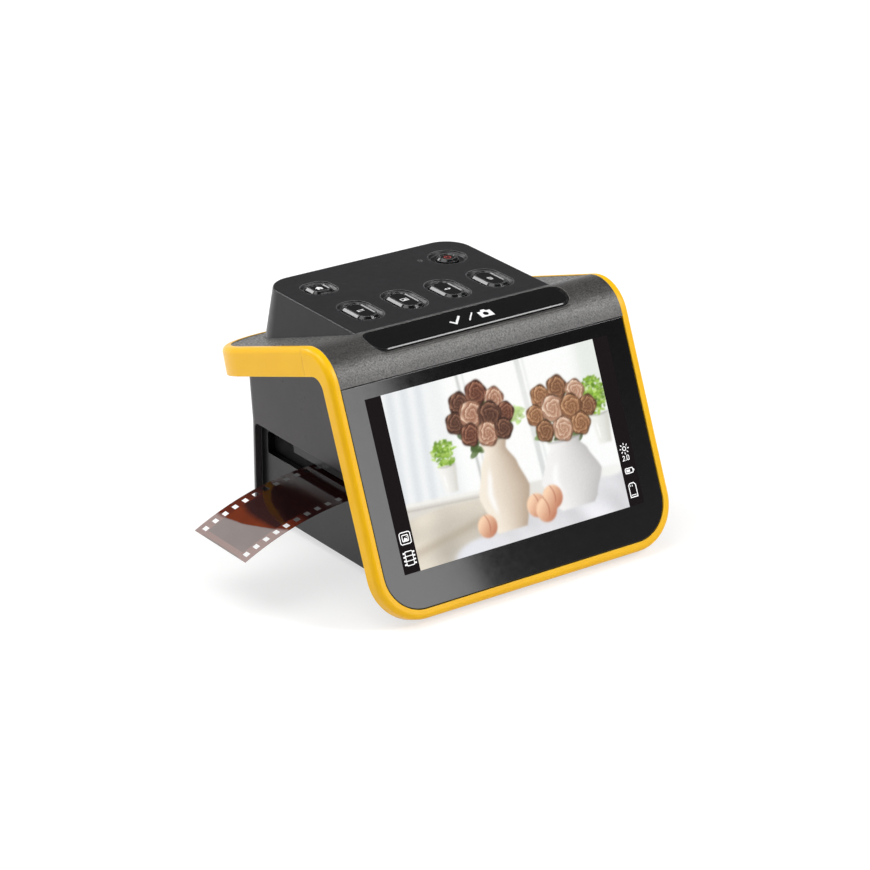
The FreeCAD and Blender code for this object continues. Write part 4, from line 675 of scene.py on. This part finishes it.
def screen_bars():
    """Dark strips beside the picture and the small marks on them."""
    x0, x1, y0, y1 = PICTURE
    left = [(-STRIP_END, y0), (x0 - 0.05, y0), (x0 - 0.05, y1), (-STRIP_END, y1)]
    right = [(x1 + 0.05, y0), (STRIP_END, y0), (STRIP_END, y1), (x1 + 0.05, y1)]
    bars = flat_piece("screen_side_bars", [left, right], SCREEN, STRIP_HEIGHT, "scanner_body", unlit_black())
    sun = ribbon(arc(0, 0, 0.75, 0, 360, 20)[:-1], 0.34, True)
    for step in range(8):
        c, s = math.cos(math.radians(45 * step)), math.sin(math.radians(45 * step))
        sun += ribbon([(1.45 * c, 1.45 * s), (2.25 * c, 2.25 * s)], 0.38)
    level = ribbon([(-1.5, 0.6), (-1.1, 0.95), (-0.6, 0.7), (-0.7, 0.2), (-1.5, -0.85), (-0.5, -0.85)], 0.3)
    level += disc(0, -0.8, 0.2, 8)
    level += ribbon(rounded(0.5, -0.85, 1.5, 0.95, 0.45), 0.3, True)
    cell = ribbon(rounded(-1.9, -1.0, 1.7, 0.9, 0.4), 0.36, True)
    cell += [[(-1.4, -0.5), (0.3, -0.5), (0.3, 0.4), (-1.4, 0.4)],
             [(1.95, -0.45), (2.35, -0.45), (2.35, 0.35), (1.95, 0.35)]]
    card = ribbon([(-1.7, -2.7), (1.6, -2.7), (1.6, 1.9), (0.8, 2.7), (-1.0, 2.7), (-1.7, 2.0)], 0.38, True)
    for line in ([(-0.9, 1.4), (-0.9, 2.0)], [(0.0, 1.4), (0.0, 2.0)], [(-1.2, -1.9), (1.1, -1.9)]):
        card += ribbon(line, 0.3)
    picture = ribbon(rounded(-2.35, -2.2, 2.35, 2.2, 0.8), 0.36, True)
    picture += ribbon(rounded(-1.3, -1.15, 1.3, 1.15, 0.25), 0.34, True)
    picture += [[(-1.0, -0.9), (-0.2, 0.3), (0.3, -0.3), (0.6, 0.0), (1.0, -0.9)]] + disc(0.65, 0.55, 0.22, 10)
    film = ribbon(rounded(-1.65, -2.6, 1.65, 2.6, 0.45), 0.34, True)
    film += ribbon([(-1.5, -0.9), (1.5, -0.9)], 0.3) + ribbon([(-1.5, 0.9), (1.5, 0.9)], 0.3)
    hole = rounded(-0.35, -0.32, 0.35, 0.32, 0.1, 2)
    for y in (-2.1, -0.7, 0.7, 2.1):
        film += moved([hole], -2.25, y) + moved([hole], 2.25, y)
    marks = moved(sun, 52.45, 43.3) + moved(level, 52.3, 39.65) + moved(cell, 52.6, 34.7) + moved(card, 52.4, 27.1)
    marks += moved(picture, -52.5, 34.35) + moved(film, -52.5, 26.8)
    ink = glowing("screen_marks", srgb(222, 222, 222), 0.65)
    flat_piece("screen_marks", marks, SCREEN, SCREEN_MARK_HEIGHT, "scanner_body", ink)


# ---------------------------------------------------------------- printed marks

def capture_marks():
    """Tick, slash and camera on the capture bar."""
    faces = ribbon([(-8.3, -0.1), (-6.5, -2.0), (-2.6, 2.1)], 0.9)
    faces += ribbon([(-0.4, -2.1), (3.4, 2.1)], 0.55)
    x, y, wide, low, high, crown = 8.2, 0.0, 2.95, -2.4, 1.35, 2.3
    turns = [arc(x, y - 0.45, radius, 90, 450, 28) for radius in (1.15, 1.55)]
    faces += [[turns[0][s], turns[0][s + 1], turns[1][s + 1], turns[1][s]] for s in range(28)]
    for side, half in ((1, turns[1][14:][::-1]), (-1, turns[1][:15])):
        outline = [(x, crown), (x, y + 1.1)] + half[1:] + [(x, low)]
        outline += [(x + side * wide, low), (x + side * wide, high), (x + side * 1.3, high), (x + side * 0.8, crown)]
        faces.append(outline)
    ink = printed("white_ink", srgb(240, 240, 240))
    flat_piece("capture_marks", faces, BAR, BAR_MARK_HEIGHT, "capture_bar_body", ink)
    return ink


def button_marks(ink):
    """Small marks on the deck buttons."""
    pitch, back, side, upper = 20.15, 18.5, 30.2, 46.4
    flip = ribbon([(-1.6, 0.5), (1.1, 0.5)], 0.34) + ribbon([(-1.1, -0.6), (1.6, -0.6)], 0.34)
    flip += [[(1.0, 1.1), (1.9, 0.5), (1.0, -0.05)], [(-1.0, -1.2), (-1.9, -0.6), (-1.0, -0.05)]]
    frame_mark = ribbon([(-1.5, -1.1), (1.5, -1.1), (1.5, 1.1), (-1.5, 1.1)], 0.36, True)
    frame_mark += [[(-1.1, -0.8), (0.1, 0.3), (0.6, -0.2), (1.1, -0.8)]] + disc(0.75, 0.5, 0.25, 12)
    arrows = [[(-0.3, -0.9), (-1.7, 0), (-0.3, 0.9)], [(0.3, -0.9), (0.3, 0.9), (1.7, 0)]]
    bin_mark = ribbon([(-1.1, 0.9), (1.1, 0.9)], 0.34)
    bin_mark += ribbon([(-0.8, 0.5), (-0.6, -1.2), (0.6, -1.2), (0.8, 0.5)], 0.34)
    bin_mark += ribbon([(0, 0.3), (0, -0.8)], 0.26) + ribbon([(-0.3, 1.25), (0.3, 1.25)], 0.26)
    for number, faces in enumerate((flip, frame_mark, arrows, bin_mark)):
        name = "function_button_%d" % (number + 1)
        placed = moved(faces, (number - 1.5) * pitch, back, 0.92)
        flat_piece(name + "_mark", placed, DECK, BUTTON_MARK_HEIGHT, name + "_body", ink)
    home = [[(-1.9, 0.1), (0, 1.9), (1.9, 0.1)], [(-1.25, 0.05), (-1.25, -1.5), (-0.4, -1.5), (-0.4, 0.05)],
            [(0.4, 0.05), (0.4, -1.5), (1.25, -1.5), (1.25, 0.05)],
            [(-0.4, 0.05), (-0.4, -0.6), (0.4, -0.6), (0.4, 0.05)]]
    home = moved(home, -side, upper, 0.9)
    flat_piece("home_mark", home, DECK, BUTTON_MARK_HEIGHT, "home_button_body", ink)
    power = ribbon(arc(0, 0, 1.25, 125, 415, 26), 0.42) + ribbon([(0, 0.2), (0, 1.75)], 0.42)
    red = glowing("power_red", srgb(150, 62, 56), 0.35)
    power = moved(power, side, upper)
    flat_piece("power_mark", power, DECK, BUTTON_MARK_HEIGHT, "power_button_body", red)


# ---------------------------------------------------------------- floor, light and camera

def seen_rays(tree):
    """1 for rays that see the surface directly, in a mirror or through glass."""
    path = tree.add("ShaderNodeLightPath")
    mirror = tree.math("MAXIMUM", path.outputs["Is Glossy Ray"], path.outputs["Is Transmission Ray"])
    return tree.math("MAXIMUM", path.outputs["Is Camera Ray"], mirror)


def studio_floor():
    tree = Tree("floor_paper")
    plain = tree.add("ShaderNodeBsdfDiffuse", Color=(0.8, 0.8, 0.8, 1.0))
    seen = tree.add("ShaderNodeBsdfDiffuse", Color=(0.43, 0.43, 0.43, 1.0))
    glow = tree.add("ShaderNodeEmission", Color=(1.0, 1.0, 1.0, 1.0), Strength=0.63)
    both = tree.add("ShaderNodeAddShader", n0=seen.outputs[0], n1=glow.outputs[0])
    mix = tree.add("ShaderNodeMixShader", n0=seen_rays(tree), n1=plain.outputs[0], n2=both.outputs[0])
    tree.put(tree.output, "Surface", mix.outputs[0])
    mesh = bpy.data.meshes.new("floor")
    mesh.from_pydata([(-4, -4, 0), (4, -4, 0), (4, 4, 0), (-4, 4, 0)], [], [(0, 1, 2, 3)])
    mesh.materials.append(tree.material)
    floor = bpy.data.objects.new("floor", mesh)
    bpy.context.scene.collection.objects.link(floor)


def area_light(name, place, target, size, power):
    data = bpy.data.lights.new(name, "AREA")
    data.shape = "RECTANGLE"
    data.size, data.size_y = size
    data.energy = power
    light = bpy.data.objects.new(name, data)
    light.location = place
    light.rotation_euler = (Vector(target) - Vector(place)).to_track_quat("-Z", "Y").to_euler()
    bpy.context.scene.collection.objects.link(light)
    return light


def lighting():
    """Pale world near the floor for what is seen or mirrored, darker above, and soft lamps round the object."""
    world = bpy.data.worlds.new("studio")
    bpy.context.scene.world = world
    tree = Tree("studio", world)
    upward = tree.add("ShaderNodeSeparateXYZ", Vector=tree.coords).outputs[2]
    seen = tree.spread(upward, 1.0, 0.11, 0.0, 0.26)
    strength = tree.add("ShaderNodeMix", {"data_type": "FLOAT"}, n0=seen_rays(tree), n2=0.42, n3=seen).outputs[0]
    background = tree.add("ShaderNodeBackground", Color=(1.0, 1.0, 1.0, 1.0), Strength=strength)
    tree.put(tree.output, "Surface", background.outputs[0])
    for name, place, target, size, power in LAMPS:
        lamp = area_light(name, place, target, size, power)
        lamp.visible_diffuse = name != "card"  # the card is there for the glass to mirror


def camera():
    level = math.cos(CAMERA_PITCH)
    ahead = Vector((math.sin(CAMERA_HEADING) * level, math.cos(CAMERA_HEADING) * level, -math.sin(CAMERA_PITCH)))
    data = bpy.data.cameras.new("camera")
    data.lens = CAMERA_LENS
    data.sensor_width = 36.0
    data.clip_start, data.clip_end = 0.05, 30.0
    eye = bpy.data.objects.new("camera", data)
    eye.location = CAMERA_PLACE
    eye.rotation_mode = "QUATERNION"
    eye.rotation_quaternion = ahead.to_track_quat("-Z", "Y")
    bpy.context.scene.collection.objects.link(eye)
    bpy.context.scene.camera = eye


dress_nodes()
screen_picture()
screen_bars()
button_marks(capture_marks())
studio_floor()
lighting()
camera()
bpy.context.scene.view_settings.view_transform = "Standard"
